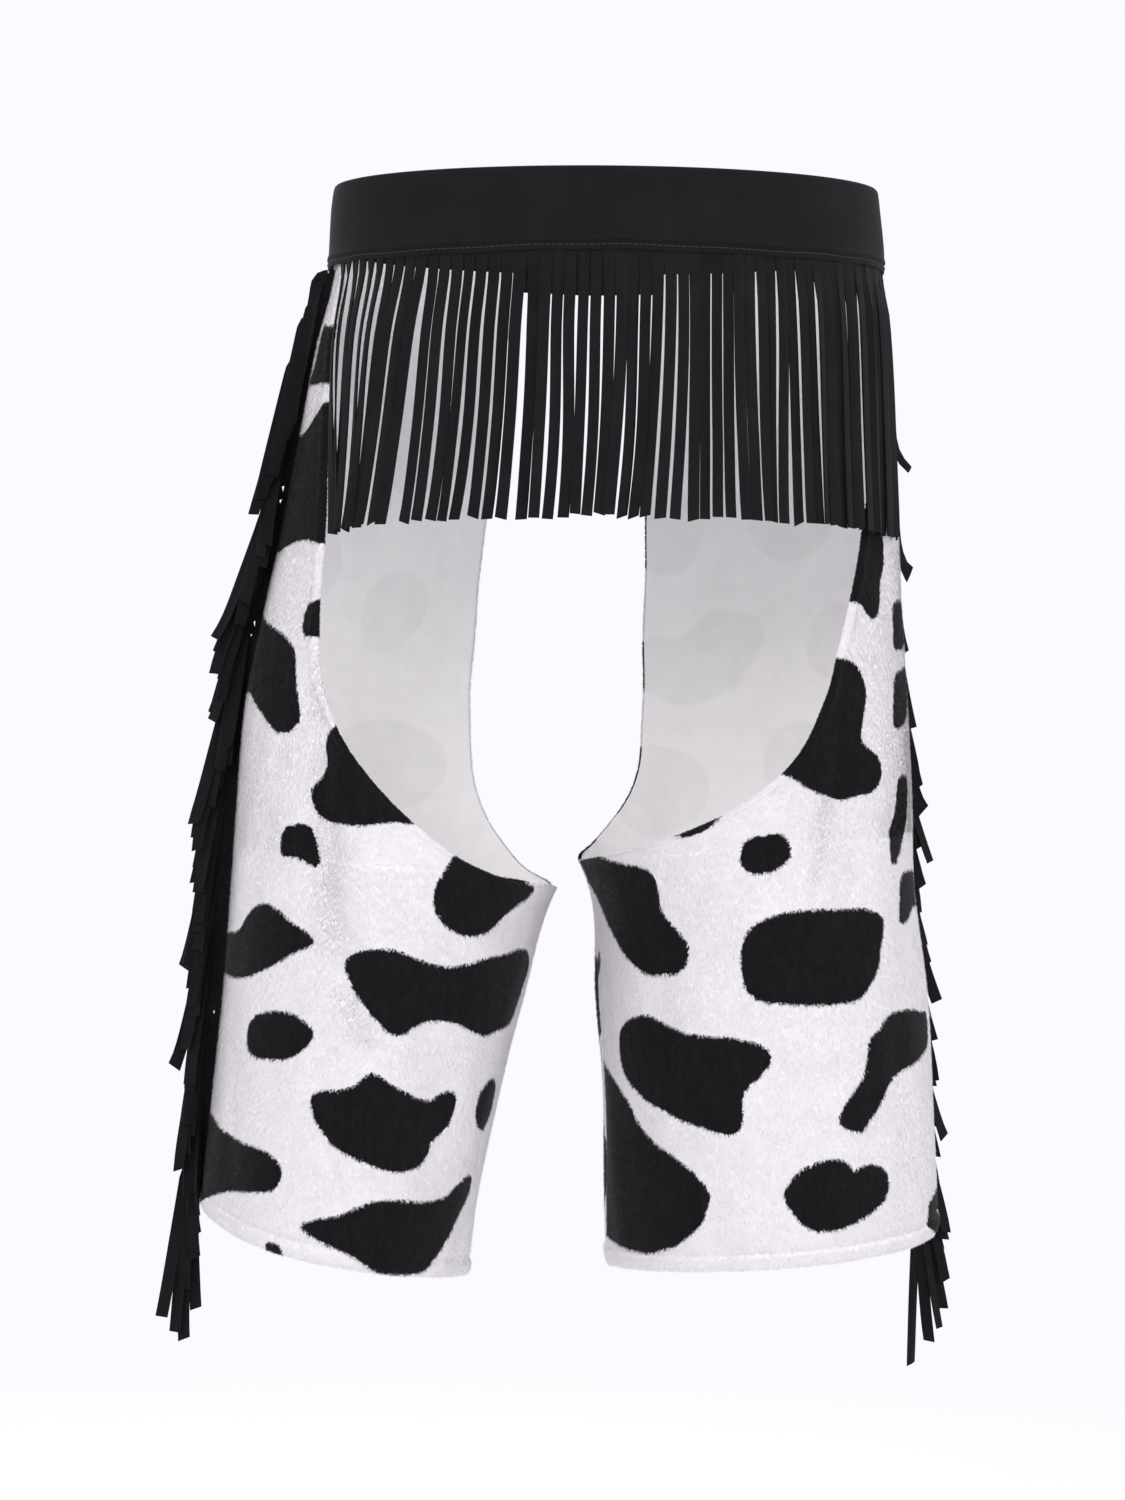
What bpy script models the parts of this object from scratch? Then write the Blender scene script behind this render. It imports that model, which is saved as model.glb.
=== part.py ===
"""Open-backed costume chaps of short-pile plush, in the shape they have when they are worn.

The origin is the centre of the waist ring, at half the waistband's height. The front faces -Y,
the wearer's left is +X and +Z is up. Each leg has a front and a back panel, which meet in an
outseam and an inseam. The seat and the crotch are open. A fringe hangs from the waistband across
the back, and one more is sewn into each outseam. Angles round a leg start at its outer side (0)
and run over the back (90) to the inner side (180), or over the front (-90) to the same place.
"""
import math
from collections import namedtuple

import bmesh
import bpy
import numpy as np

# Driving dimensions, in metres
BAND_TOP = 0.025
BAND_BOTTOM = -0.025
BAND_STEP = -0.013            # above this height the band is thick, below it laps over the cloth
BAND_HALF_WIDTH_TOP = 0.1635
BAND_HALF_WIDTH_BOTTOM = 0.1675
BAND_HALF_DEPTH_TOP = 0.107
BAND_HALF_DEPTH_BOTTOM = 0.118
BAND_CHAMFER = 0.0008
BAND_OVERLAP = 0.050          # how far the ends pass each other at the centre front
BAND_DIP = 0.0034             # how far the under end moves in behind the upper one
BAND_DIP_RUN = 0.017
CLOTH_WALL = 0.0025
SUEDE_WALL = 0.001
GAP = 0.0003                  # between pieces that are sewn to each other
SLIT_CLEARANCE = 0.0004       # on each side of a fringe's strip, in the slit of its outseam

# How the layers of the band lie, outward from the inner face of the panels
PANEL_OUTER = CLOTH_WALL
HEADER_INNER = PANEL_OUTER + GAP
HEADER_OUTER = HEADER_INNER + SUEDE_WALL
LAP_INNER_FRINGED = HEADER_OUTER + GAP
BAND_OUTER = LAP_INNER_FRINGED + 0.0012
BAND_INNER = BAND_OUTER - 0.003
LAP_CHANGE_FIRST_ANGLE = 8.0      # between these angles the lap makes room for the strip
LAP_CHANGE_LAST_ANGLE = 180.0
LAP_CHANGE_RUN = 3.0

# Fringes: strands and the strips that carry them
WAIST_STRANDS = 58
WAIST_TOP_FIRST_ANGLE = 17.0      # of the first and last strand, from the wearer's left side round the back
WAIST_TOP_LAST_ANGLE = 170.0
WAIST_TIP_FIRST_ANGLE = 33.0      # where the tips of the same two strands hang
WAIST_TIP_LAST_ANGLE = 164.0
WAIST_FRINGE_TIP = -0.178         # at the middle of the back
WAIST_FRINGE_SIDE_DROP = 0.012    # how much lower the tips are at the sides
WAIST_STRAND_WIDTH = 0.0058
WAIST_STRAND_STAGGER = 0.0014     # how much further out each second strand hangs
WAIST_STRAND_RINGS = [0.14, 0.5, 1.0]     # shares of the length
WAIST_TIP_LIFT = 0.0006           # how much further from the hips a strand is at its tip
STRAND_UNEVEN = 0.002             # how far the tips lie from an even line
HIP_JOIN_FROM = 60.0              # the two legs' sections run into each other between these angles
HIP_JOIN_TO = 120.0
HEADER_REACH = 0.005              # how far a seam's strip reaches in and out from the cloth's face
SIDE_STRAND_PITCH = 0.0080
SIDE_STRAND_WIDTH = 0.0064
SIDE_STRAND_WALL = 0.0008
SIDE_STRAND_SPREAD = 0.0039       # by how much strands hang further back and further front in turn

# Mesh fineness
BAND_COLUMNS = 84
PANEL_COLUMNS = 12
OPENING_STEPS = 2
LEG_STEPS = 8

LEFT = 1
RIGHT = -1

Section = namedtuple("Section", "height centre_out centre_back half_width half_depth")
OpeningRow = namedtuple("OpeningRow", "seam_height back_height back_angle front_height front_angle")
Fold = namedtuple("Fold", "side top_angle bottom_angle top bottom half_width depth")
SeamTurn = namedtuple("SeamTurn", "height angle")
StrandLean = namedtuple("StrandLean", "height angle")
SideFringe = namedtuple("SideFringe", "length tilt")


def mix(first, second, share):
    """Value between two others."""
    return first + (second - first) * share


def smoothstep(share):
    """Soft rise from 0 to 1."""
    share = np.clip(share, 0.0, 1.0)
    return share * share * (3.0 - 2.0 * share)


def band_radii(height, layer):
    """Half width and half depth of the waist ring at a height, at one layer of the stack."""
    share = (BAND_TOP - height) / (BAND_TOP - BAND_BOTTOM)
    inset = BAND_OUTER - layer
    half_width = mix(BAND_HALF_WIDTH_TOP, BAND_HALF_WIDTH_BOTTOM, share) - inset
    half_depth = mix(BAND_HALF_DEPTH_TOP, BAND_HALF_DEPTH_BOTTOM, share) - inset
    return half_width, half_depth


PANEL_TOP = BAND_STEP - GAP
PANEL_BEND = BAND_BOTTOM - 0.001      # where the cloth comes out from under the band and flares
WAIST_SECTIONS = [
    Section(PANEL_TOP, 0.0, 0.0, *band_radii(PANEL_TOP, PANEL_OUTER)),
    Section(BAND_BOTTOM, 0.0, 0.0, *band_radii(BAND_BOTTOM, PANEL_OUTER)),
]
SECTIONS = {
    LEFT: WAIST_SECTIONS + [
        Section(-0.071, 0.004, 0.000, 0.172, 0.1190),
        Section(-0.131, 0.013, 0.001, 0.174, 0.1210),
        Section(-0.185, 0.028, 0.002, 0.169, 0.1220),
        Section(-0.221, 0.044, 0.003, 0.161, 0.1210),
        Section(-0.281, 0.080, 0.004, 0.137, 0.1165),
        Section(-0.341, 0.111, 0.003, 0.112, 0.1110),
        Section(-0.401, 0.131, 0.000, 0.0965, 0.1065),
        Section(-0.461, 0.141, -0.003, 0.0905, 0.1030),
        Section(-0.521, 0.151, -0.006, 0.086, 0.1000),
        Section(-0.581, 0.161, -0.009, 0.083, 0.0980),
        Section(-0.640, 0.167, -0.011, 0.083, 0.0970),
    ],
    RIGHT: WAIST_SECTIONS + [
        Section(-0.071, 0.001, 0.000, 0.168, 0.1190),
        Section(-0.131, 0.003, 0.001, 0.170, 0.1210),
        Section(-0.185, 0.008, 0.002, 0.1685, 0.1220),
        Section(-0.221, 0.017, 0.003, 0.161, 0.1210),
        Section(-0.281, 0.045, 0.004, 0.136, 0.1155),
        Section(-0.341, 0.073, 0.003, 0.111, 0.1085),
        Section(-0.390, 0.0865, 0.001, 0.099, 0.1025),
        Section(-0.461, 0.094, -0.003, 0.100, 0.0980),
        Section(-0.521, 0.0985, -0.006, 0.100, 0.0955),
        Section(-0.581, 0.101, -0.009, 0.1015, 0.0940),
        Section(-0.640, 0.102, -0.011, 0.1015, 0.0930),
    ],
}

# The open edges of each leg's panels, from the waistband down to the top of the inseam
OPENING = {
    LEFT: [
        OpeningRow(PANEL_TOP, PANEL_TOP, 12.2, PANEL_TOP, -74.0),
        OpeningRow(PANEL_BEND, PANEL_BEND, 13.0, PANEL_BEND, -73.8),
        OpeningRow(-0.084, -0.088, 20.0, -0.084, -73.0),
        OpeningRow(-0.150, -0.157, 27.3, -0.150, -75.0),
        OpeningRow(-0.205, -0.219, 34.0, -0.207, -79.0),
        OpeningRow(-0.248, -0.273, 42.5, -0.256, -87.0),
        OpeningRow(-0.280, -0.315, 60.5, -0.298, -97.0),
        OpeningRow(-0.307, -0.350, 83.0, -0.334, -109.0),
        OpeningRow(-0.330, -0.375, 107.0, -0.362, -125.0),
        OpeningRow(-0.349, -0.390, 138.0, -0.384, -148.0),
        OpeningRow(-0.365, -0.394, 180.0, -0.394, -180.0),
    ],
    RIGHT: [
        OpeningRow(PANEL_TOP, PANEL_TOP, 13.5, PANEL_TOP, -74.5),
        OpeningRow(PANEL_BEND, PANEL_BEND, 14.5, PANEL_BEND, -74.7),
        OpeningRow(-0.084, -0.088, 22.5, -0.084, -76.0),
        OpeningRow(-0.150, -0.157, 31.5, -0.150, -78.0),
        OpeningRow(-0.205, -0.219, 42.0, -0.207, -81.0),
        OpeningRow(-0.245, -0.267, 53.5, -0.254, -88.0),
        OpeningRow(-0.276, -0.306, 67.5, -0.293, -97.0),
        OpeningRow(-0.300, -0.335, 86.5, -0.325, -108.0),
        OpeningRow(-0.321, -0.356, 111.0, -0.350, -124.0),
        OpeningRow(-0.340, -0.371, 142.0, -0.369, -147.0),
        OpeningRow(-0.355, -0.378, 180.0, -0.378, -180.0),
    ],
}
HEM_SEAM_HEIGHT = {LEFT: -0.578, RIGHT: -0.590}
HEM_INSEAM_HEIGHT = {LEFT: -0.624, RIGHT: -0.620}
HEM_BOW_BACK = 0.17           # the hem drops early across the back and late across the front
HEM_BOW_FRONT = -0.26

# The outseam turns towards the back on the left leg and towards the front on the right one
SEAM_TURN = {
    LEFT: [
        SeamTurn(-0.013, 3.0),
        SeamTurn(-0.150, 1.0),
        SeamTurn(-0.640, 1.0),
    ],
    RIGHT: [
        SeamTurn(-0.013, -8.0),
        SeamTurn(-0.150, -15.0),
        SeamTurn(-0.300, -25.0),
        SeamTurn(-0.640, -29.0),
    ],
}
# How far a strand leans out as it hangs: more than its outseam does, so that the strands lie side by side
STRAND_LEAN = {
    LEFT: [
        StrandLean(-0.013, 19.8),
        StrandLean(-0.080, 19.4),
        StrandLean(-0.150, 17.4),
        StrandLean(-0.250, 16.5),
        StrandLean(-0.360, 12.8),
        StrandLean(-0.460, 11.5),
        StrandLean(-0.640, 11.5),
    ],
    RIGHT: [
        StrandLean(-0.013, 10.5),
        StrandLean(-0.350, 10.5),
        StrandLean(-0.430, 12.5),
        StrandLean(-0.520, 11.0),
        StrandLean(-0.640, 10.5),
    ],
}
SIDE_FRINGE = {
    LEFT: SideFringe(length=0.093, tilt=75.0),
    RIGHT: SideFringe(length=0.096, tilt=70.0),
}
SIDE_STRAND_RINGS = [0.0045, 0.0092, 0.0140]   # lengths at which a strand bends, past the strip
SIDE_STRAND_BENDS = [75.0, 58.0, 38.0]         # its angle from straight down before each of them
SIDE_STRAND_TILTS = [0.25, 0.65, 1.0, 1.0]     # how much of its tilt and spread it has there and at the tip

FOLDS = [
    Fold(LEFT, 23.5, 77.0, -0.190, -0.470, 0.017, 0.0050),
    Fold(LEFT, 110.0, 128.0, -0.400, -0.600, 0.022, 0.0030),
    Fold(LEFT, -52.0, -70.0, -0.300, -0.560, 0.020, 0.0045),
    Fold(LEFT, -120.0, -112.0, -0.380, -0.620, 0.020, 0.0035),
    Fold(RIGHT, 45.0, 73.0, -0.230, -0.490, 0.018, 0.0040),
    Fold(RIGHT, 96.0, 88.0, -0.410, -0.600, 0.024, 0.0025),
    Fold(RIGHT, -60.0, -72.0, -0.240, -0.520, 0.020, 0.0045),
    Fold(RIGHT, -128.0, -120.0, -0.360, -0.610, 0.020, 0.0035),
]

# Colours as red, green, blue in linear light, with roughness
PLUSH_WHITE = ((0.80, 0.79, 0.77), 0.95)
SUEDE_BLACK = ((0.018, 0.018, 0.020), 0.85)


def read_table(rows, at):
    """Smooth values of a table's later columns where its first, falling column has the given values."""
    table = np.array(rows, dtype=float)
    keys = -table[:, 0]
    values = table[:, 1:]
    steps = np.diff(keys)
    slopes = np.diff(values, axis=0) / steps[:, None]
    tangents = np.vstack([slopes[:1], slopes, slopes[-1:]])
    before = np.concatenate([steps[:1], steps])
    after = np.concatenate([steps, steps[-1:]])
    weights = (after / (before + after))[:, None]
    tangents = tangents[:-1] * weights + tangents[1:] * (1.0 - weights)
    where = np.clip(-np.asarray(at, dtype=float), keys[0], keys[-1])
    index = np.clip(np.searchsorted(keys, where) - 1, 0, len(keys) - 2)
    step = steps[index][..., None]
    share = (where - keys[index])[..., None] / step
    rest = 1.0 - share
    start = values[index] * (1.0 + 2.0 * share) + tangents[index] * step * share
    end = values[index + 1] * (1.0 + 2.0 * rest) - tangents[index + 1] * step * rest
    return start * rest * rest + end * share * share


def curve_through(rows, steps):
    """Rows on a smooth curve through the given ones, with a number of steps from each to the next."""
    table = np.array(rows, dtype=float)
    tangents = np.gradient(table, axis=0)
    points = [table[0]]
    for start, end, leave, arrive in zip(table[:-1], table[1:], tangents[:-1], tangents[1:]):
        for step in range(1, steps + 1):
            share = step / steps
            rest = 1.0 - share
            first = start * (1.0 + 2.0 * share) + leave * share
            second = end * (1.0 + 2.0 * rest) - arrive * rest
            points.append(first * rest * rest + second * share * share)
    return np.array(points)


def fold_depth(side, height, angle, half_depth):
    """How far the folds push the cloth inward at a place on a leg."""
    depth = np.zeros(np.broadcast(height, angle).shape)
    for fold in FOLDS:
        if fold.side != side:
            continue
        along = (fold.top - height) / (fold.top - fold.bottom)
        middle = mix(fold.top_angle, fold.bottom_angle, along)
        away = np.radians(angle - middle) * half_depth / fold.half_width
        fade = np.where((along > 0.0) & (along < 1.0), np.sin(math.pi * np.clip(along, 0.0, 1.0)) ** 2, 0.0)
        depth = depth + fold.depth * fade * np.exp(-away * away)
    return depth


def leg_point(side, height, angle, depth=0.0):
    """Points of a leg's outer surface, or below it by a depth, at heights and angles."""
    height, angle = np.broadcast_arrays(np.asarray(height, dtype=float), np.asarray(angle, dtype=float))
    centre_out, centre_back, half_width, half_depth = np.moveaxis(read_table(SECTIONS[side], height), -1, 0)
    sink = depth + fold_depth(side, height, angle, half_depth)
    turn = np.radians(angle)
    out = centre_out + (half_width - sink) * np.cos(turn)
    back = centre_back + (half_depth - sink) * np.sin(turn)
    return np.stack([side * out, back, height], axis=-1)


def arc_per_degree(side, height, angle):
    """Length along the cloth that one degree covers."""
    _, _, half_width, half_depth = np.moveaxis(read_table(SECTIONS[side], height), -1, 0)
    turn = np.radians(angle)
    return np.radians(1.0) * np.hypot(half_width * np.sin(turn), half_depth * np.cos(turn))


def seam_angle(side, height):
    """Angle of the outseam at a height."""
    return read_table(SEAM_TURN[side], height)[..., 0]


def panel_rows(side, back):
    """Each row of a panel: outseam height, edge height, edge angle and how far the row bows down."""
    opening = curve_through(OPENING[side], OPENING_STEPS)
    seam = opening[:, 0]
    edge = opening[:, 1] if back else opening[:, 3]
    angle = opening[:, 2] if back else opening[:, 4]
    down = np.linspace(0.0, 1.0, LEG_STEPS + 1)[1:]
    seam = np.concatenate([seam, mix(seam[-1], HEM_SEAM_HEIGHT[side], down)])
    edge = np.concatenate([edge, mix(edge[-1], HEM_INSEAM_HEIGHT[side], down)])
    angle = np.concatenate([angle, np.full(LEG_STEPS, angle[-1])])
    bow = np.concatenate([np.zeros(len(opening)), down * (HEM_BOW_BACK if back else HEM_BOW_FRONT)])
    return seam, edge, angle, bow


def panel_points(side, back, depth):
    """Grid of points of one panel's outer or inner face: rows run from the outseam to the edge."""
    seam, edge, edge_angle, bow = panel_rows(side, back)
    turn = 1.0 if back else -1.0
    slit = SUEDE_WALL / 2.0 + SLIT_CLEARANCE
    start = seam_angle(side, seam)
    start = start + turn * slit / arc_per_degree(side, seam, start)
    closed = np.abs(edge_angle) > 179.9
    trim = np.where(closed, GAP / 2.0 / arc_per_degree(side, edge, edge_angle), 0.0)
    end = edge_angle - turn * trim
    across = np.linspace(0.0, 1.0, PANEL_COLUMNS + 1)
    share = across + bow[:, None] * np.sin(math.pi * across)
    height = mix(seam[:, None], edge[:, None], share)
    angle = mix(start[:, None], end[:, None], across)
    return leg_point(side, height, angle, depth)


def make_material(name, finish):
    """A plain surface with its colour and roughness."""
    colour, roughness = finish
    material = bpy.data.materials.new(name)
    material.use_nodes = True
    shader = material.node_tree.nodes["Principled BSDF"]
    shader.inputs["Base Color"].default_value = (*colour, 1.0)
    shader.inputs["Roughness"].default_value = roughness
    shader.inputs["Metallic"].default_value = 0.0
    return material


def make_object(name, mesh_builder, material, collection):
    """A named object from a finished bmesh, with its faces pointing out."""
    bmesh.ops.recalc_face_normals(mesh_builder, faces=mesh_builder.faces)
    mesh = bpy.data.meshes.new(name)
    mesh_builder.to_mesh(mesh)
    mesh_builder.free()
    mesh.shade_smooth()
    mesh.set_sharp_from_angle(angle=math.radians(40.0))
    mesh.materials.append(material)
    made = bpy.data.objects.new(name, mesh)
    collection.objects.link(made)
    return made


def lofted_wall(name, outer, inner, material, collection):
    """A closed wall between two grids of points."""
    builder = bmesh.new()
    faces = [[[builder.verts.new(point) for point in row] for row in grid] for grid in (outer, inner)]
    rows, columns = outer.shape[:2]
    for grid in faces:
        for row in range(rows - 1):
            for column in range(columns - 1):
                builder.faces.new((grid[row][column], grid[row][column + 1],
                                   grid[row + 1][column + 1], grid[row + 1][column]))
    front, behind = faces
    for column in range(columns - 1):
        for row in (0, rows - 1):
            builder.faces.new((front[row][column], front[row][column + 1],
                               behind[row][column + 1], behind[row][column]))
    for row in range(rows - 1):
        for column in (0, columns - 1):
            builder.faces.new((front[row][column], front[row + 1][column],
                               behind[row + 1][column], behind[row][column]))
    return make_object(name, builder, material, collection)


def make_panel(name, side, back, material, collection):
    """One leg panel."""
    outer = panel_points(side, back, 0.0)
    inner = panel_points(side, back, CLOTH_WALL)
    return lofted_wall(name, outer, inner, material, collection)


def band_profile(angle):
    """Layer and height of each corner of the band's section at an angle round the waist."""
    past_change = min(angle - LAP_CHANGE_FIRST_ANGLE, LAP_CHANGE_LAST_ANGLE - angle)
    lap_inner = mix(HEADER_INNER, LAP_INNER_FRINGED, float(smoothstep(past_change / LAP_CHANGE_RUN)))
    return [
        (BAND_INNER, BAND_STEP),
        (BAND_INNER, BAND_TOP - BAND_CHAMFER),
        (BAND_INNER + BAND_CHAMFER, BAND_TOP),
        (BAND_OUTER - BAND_CHAMFER, BAND_TOP),
        (BAND_OUTER, BAND_TOP - BAND_CHAMFER),
        (BAND_OUTER, BAND_BOTTOM + BAND_CHAMFER / 2.0),
        (BAND_OUTER - BAND_CHAMFER / 2.0, BAND_BOTTOM),
        (lap_inner, BAND_BOTTOM),
        (lap_inner, BAND_STEP),
    ]


def make_waistband(material, collection):
    """The waistband: one strip round the waist, whose ends overlap at the centre front."""
    overlap_angle = math.degrees(BAND_OVERLAP / 2.0 / BAND_HALF_WIDTH_BOTTOM)
    dip_run_angle = math.degrees(BAND_DIP_RUN / BAND_HALF_WIDTH_BOTTOM)
    under_start = 270.0 - overlap_angle - dip_run_angle
    builder = bmesh.new()
    rings = []
    for angle in np.linspace(-90.0 - overlap_angle, 270.0 + overlap_angle, BAND_COLUMNS + 1):
        dip = BAND_DIP * float(smoothstep((angle - under_start) / dip_run_angle))
        turn = math.radians(angle)
        ring = []
        for layer, height in band_profile(angle):
            half_width, half_depth = band_radii(height, layer - dip)
            ring.append(builder.verts.new((half_width * math.cos(turn), half_depth * math.sin(turn), height)))
        rings.append(ring)
    for ring, following in zip(rings[:-1], rings[1:]):
        for corner in range(len(ring)):
            other = (corner + 1) % len(ring)
            builder.faces.new((ring[corner], ring[other], following[other], following[corner]))
    builder.faces.new(rings[0])
    builder.faces.new(rings[-1])
    return make_object("waistband", builder, material, collection)


def make_fringe(name, strip, strands, material, collection):
    """One closed body: a strip whose last rim carries the strands.

    The strip is an array [rim][face][column], with two rims, two faces and two columns to each
    strand. Each strand is a list of rings of four points beyond the strip. The diagonals of its
    opposite sides run alike, so that its wall keeps its thickness where the strand is twisted.
    """
    builder = bmesh.new()
    rims = [[[builder.verts.new(point) for point in face] for face in rim] for rim in strip]
    (root_outer, root_inner), (last_outer, last_inner) = rims
    columns = len(root_outer)
    for column in range(columns - 1):
        after = column + 1
        builder.faces.new((root_outer[column], root_outer[after], last_outer[after], last_outer[column]))
        builder.faces.new((root_inner[column], root_inner[after], last_inner[after], last_inner[column]))
        builder.faces.new((root_outer[column], root_outer[after], root_inner[after], root_inner[column]))
        if column % 2 == 1:
            builder.faces.new((last_outer[column], last_outer[after], last_inner[after], last_inner[column]))
    for column in (0, columns - 1):
        builder.faces.new((root_outer[column], last_outer[column], last_inner[column], root_inner[column]))
    for index, rings in enumerate(strands):
        left, right = 2 * index, 2 * index + 1
        ring = [last_outer[left], last_outer[right], last_inner[right], last_inner[left]]
        for points in rings:
            following = [builder.verts.new(point) for point in points]
            for corner in range(4):
                other = (corner + 1) % 4
                sides = (ring[corner], ring[other], following[other], following[corner])
                if corner >= 2:
                    sides = sides[1:] + sides[:1]
                builder.faces.new((sides[0], sides[1], sides[2]))
                builder.faces.new((sides[0], sides[2], sides[3]))
            ring = following
        builder.faces.new(ring)
    return make_object(name, builder, material, collection)


def hip_point(around, height, lift):
    """A point over the hips, lifted off them; the angle runs from the left side (0) over the back."""
    left = read_table(SECTIONS[LEFT], height)
    right = read_table(SECTIONS[RIGHT], height)
    right[..., 0] *= -1.0
    share = smoothstep((around - HIP_JOIN_FROM) / (HIP_JOIN_TO - HIP_JOIN_FROM))[..., None]
    centre_x, centre_y, half_width, half_depth = np.moveaxis(mix(left, right, share), -1, 0)
    turn = np.radians(around)
    return np.stack([centre_x + (half_width + lift) * np.cos(turn),
                     centre_y + (half_depth + lift) * np.sin(turn),
                     np.broadcast_to(height, around.shape)], axis=-1)


def evenly_along(start, end, count, height):
    """Angles between two others that lie evenly spaced along the hips at a height."""
    fine = np.linspace(start, end, 8 * count)
    points = hip_point(fine, np.full(fine.shape, height), np.zeros(fine.shape))
    travelled = np.concatenate([[0.0], np.cumsum(np.linalg.norm(np.diff(points, axis=0), axis=1))])
    return np.interp(np.linspace(0.0, travelled[-1], count), travelled, fine)


def make_waist_fringe(material, collection):
    """Strands across the back, on a strip that the waistband covers."""
    strip_top = BAND_STEP - GAP
    strip_bottom = BAND_BOTTOM + 0.001
    middle_top = evenly_along(WAIST_TOP_FIRST_ANGLE, WAIST_TOP_LAST_ANGLE, WAIST_STRANDS, strip_bottom)
    middle_tip = evenly_along(WAIST_TIP_FIRST_ANGLE, WAIST_TIP_LAST_ANGLE, WAIST_STRANDS, WAIST_FRINGE_TIP)

    def pair(middle, height):
        """The two side angles of each strand at a height."""
        near = np.full(middle.shape, height)
        here = hip_point(middle, near, 0.0 * middle)
        beside = hip_point(middle + 1.0, near, 0.0 * middle)
        half = WAIST_STRAND_WIDTH / 2.0 / np.linalg.norm(beside - here, axis=1)
        return np.stack([middle - half, middle + half], axis=1)

    sides_top = pair(middle_top, strip_bottom)
    columns = sides_top.reshape(-1)
    strip = []
    for height in (strip_top, strip_bottom):
        faces = []
        for layer in (HEADER_OUTER, HEADER_INNER):
            half_width, half_depth = band_radii(height, layer)
            turn = np.radians(columns)
            faces.append(np.stack([half_width * np.cos(turn), half_depth * np.sin(turn),
                                   np.full(turn.shape, height)], axis=-1))
        strip.append(faces)
    strands = []
    for index in range(WAIST_STRANDS):
        stagger = WAIST_STRAND_STAGGER * (index % 2)
        uneven = STRAND_UNEVEN * math.sin(index * 2.4)
        side_drop = WAIST_FRINGE_SIDE_DROP * (1.0 - math.sin(math.radians(middle_tip[index])))
        rings = []
        for share in WAIST_STRAND_RINGS:
            height = mix(strip_bottom, WAIST_FRINGE_TIP - side_drop + uneven, share)
            middle = mix(middle_top[index], middle_tip[index], share)
            lift = GAP + stagger + WAIST_TIP_LIFT * share
            corners = pair(np.array([middle]), height)[0]
            outer = hip_point(corners, np.full(2, height), np.full(2, lift + SUEDE_WALL))
            inner = hip_point(corners, np.full(2, height), np.full(2, lift))
            rings.append([outer[0], outer[1], inner[1], inner[0]])
        strands.append(rings)
    return make_fringe("waist_fringe", strip, strands, material, collection)


def seam_frame(side, height):
    """Place on an outseam, with the directions out of the cloth and along it towards the back."""
    angle = seam_angle(side, height)
    place = leg_point(side, height, angle)
    out = place - leg_point(side, height, angle, CLOTH_WALL)
    out = out / np.linalg.norm(out)
    along = np.array([-out[1], out[0], 0.0]) * side
    return place, out, along


def make_side_fringe(name, side, material, collection):
    """Strands along an outseam, on a strip that is sewn in between the panels."""
    style = SIDE_FRINGE[side]
    top = BAND_BOTTOM - 2.0 * GAP
    bottom = HEM_SEAM_HEIGHT[side]
    count = int((top - bottom) / SIDE_STRAND_PITCH)
    heights = []
    for index in range(count):
        middle = top - SIDE_STRAND_PITCH * (index + 0.5)
        heights += [middle + SIDE_STRAND_WIDTH / 2.0, middle - SIDE_STRAND_WIDTH / 2.0]
    strip = [[[], []], [[], []]]
    for height in heights:
        place, out, along = seam_frame(side, height)
        for rim, reach in enumerate((-HEADER_REACH, HEADER_REACH)):
            for face, offset in enumerate((SUEDE_WALL / 2.0, -SUEDE_WALL / 2.0)):
                strip[rim][face].append(place + out * reach + along * offset)
    strands = []
    for index in range(count):
        middle = top - SIDE_STRAND_PITCH * (index + 0.5)
        place, out, along = seam_frame(side, middle)
        below, _, _ = seam_frame(side, middle - style.length)
        down = along * float((below - place) @ along) / style.length - np.array([0.0, 0.0, 1.0])
        lean = float(read_table(STRAND_LEAN[side], middle)[0])
        spread = SIDE_STRAND_SPREAD * (1.0 if index % 2 else -1.0)
        length = style.length + STRAND_UNEVEN * math.sin(index * 2.1)
        lengths = [*SIDE_STRAND_RINGS, length - HEADER_REACH]
        bends = [*SIDE_STRAND_BENDS, lean]
        point = place + out * HEADER_REACH
        travelled = 0.0
        rings = []
        for step, (reached, bend, tilt) in enumerate(zip(lengths, bends, SIDE_STRAND_TILTS)):
            direction = out * math.sin(math.radians(bend)) + down * math.cos(math.radians(bend))
            point = point + direction * (reached - travelled)
            travelled = reached
            following = bends[min(step + 1, len(bends) - 1)]
            mean = math.radians((bend + following) / 2.0)
            across = out * math.cos(mean) - down * math.sin(mean)
            turn = math.radians(tilt * style.tilt)
            width = across * math.cos(turn) + along * math.sin(turn)
            face = along * math.cos(turn) - across * math.sin(turn)
            centre = point + along * (spread * tilt)
            half, wall = width * (SIDE_STRAND_WIDTH / 2.0), face * (SIDE_STRAND_WALL / 2.0)
            corners = (half + wall, wall - half, -half - wall, half - wall)
            rings.append([centre + corner for corner in corners])
        strands.append(rings)
    return make_fringe(name, strip, strands, material, collection)


def make_chaps():
    """All the pieces, in a collection of their own."""
    for old in list(bpy.data.objects):
        bpy.data.objects.remove(old, do_unlink=True)
    collection = bpy.data.collections.new("chaps")
    bpy.context.scene.collection.children.link(collection)
    names = {LEFT: "left", RIGHT: "right"}
    make_waistband(make_material("waistband_suede", SUEDE_BLACK), collection)
    make_waist_fringe(make_material("waist_fringe_suede", SUEDE_BLACK), collection)
    for side, word in names.items():
        for back, face in ((False, "front"), (True, "back")):
            name = word + "_" + face + "_panel"
            make_panel(name, side, back, make_material(name + "_plush", PLUSH_WHITE), collection)
        name = word + "_side_fringe"
        make_side_fringe(name, side, make_material(name + "_suede", SUEDE_BLACK), collection)


make_chaps()
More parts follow.
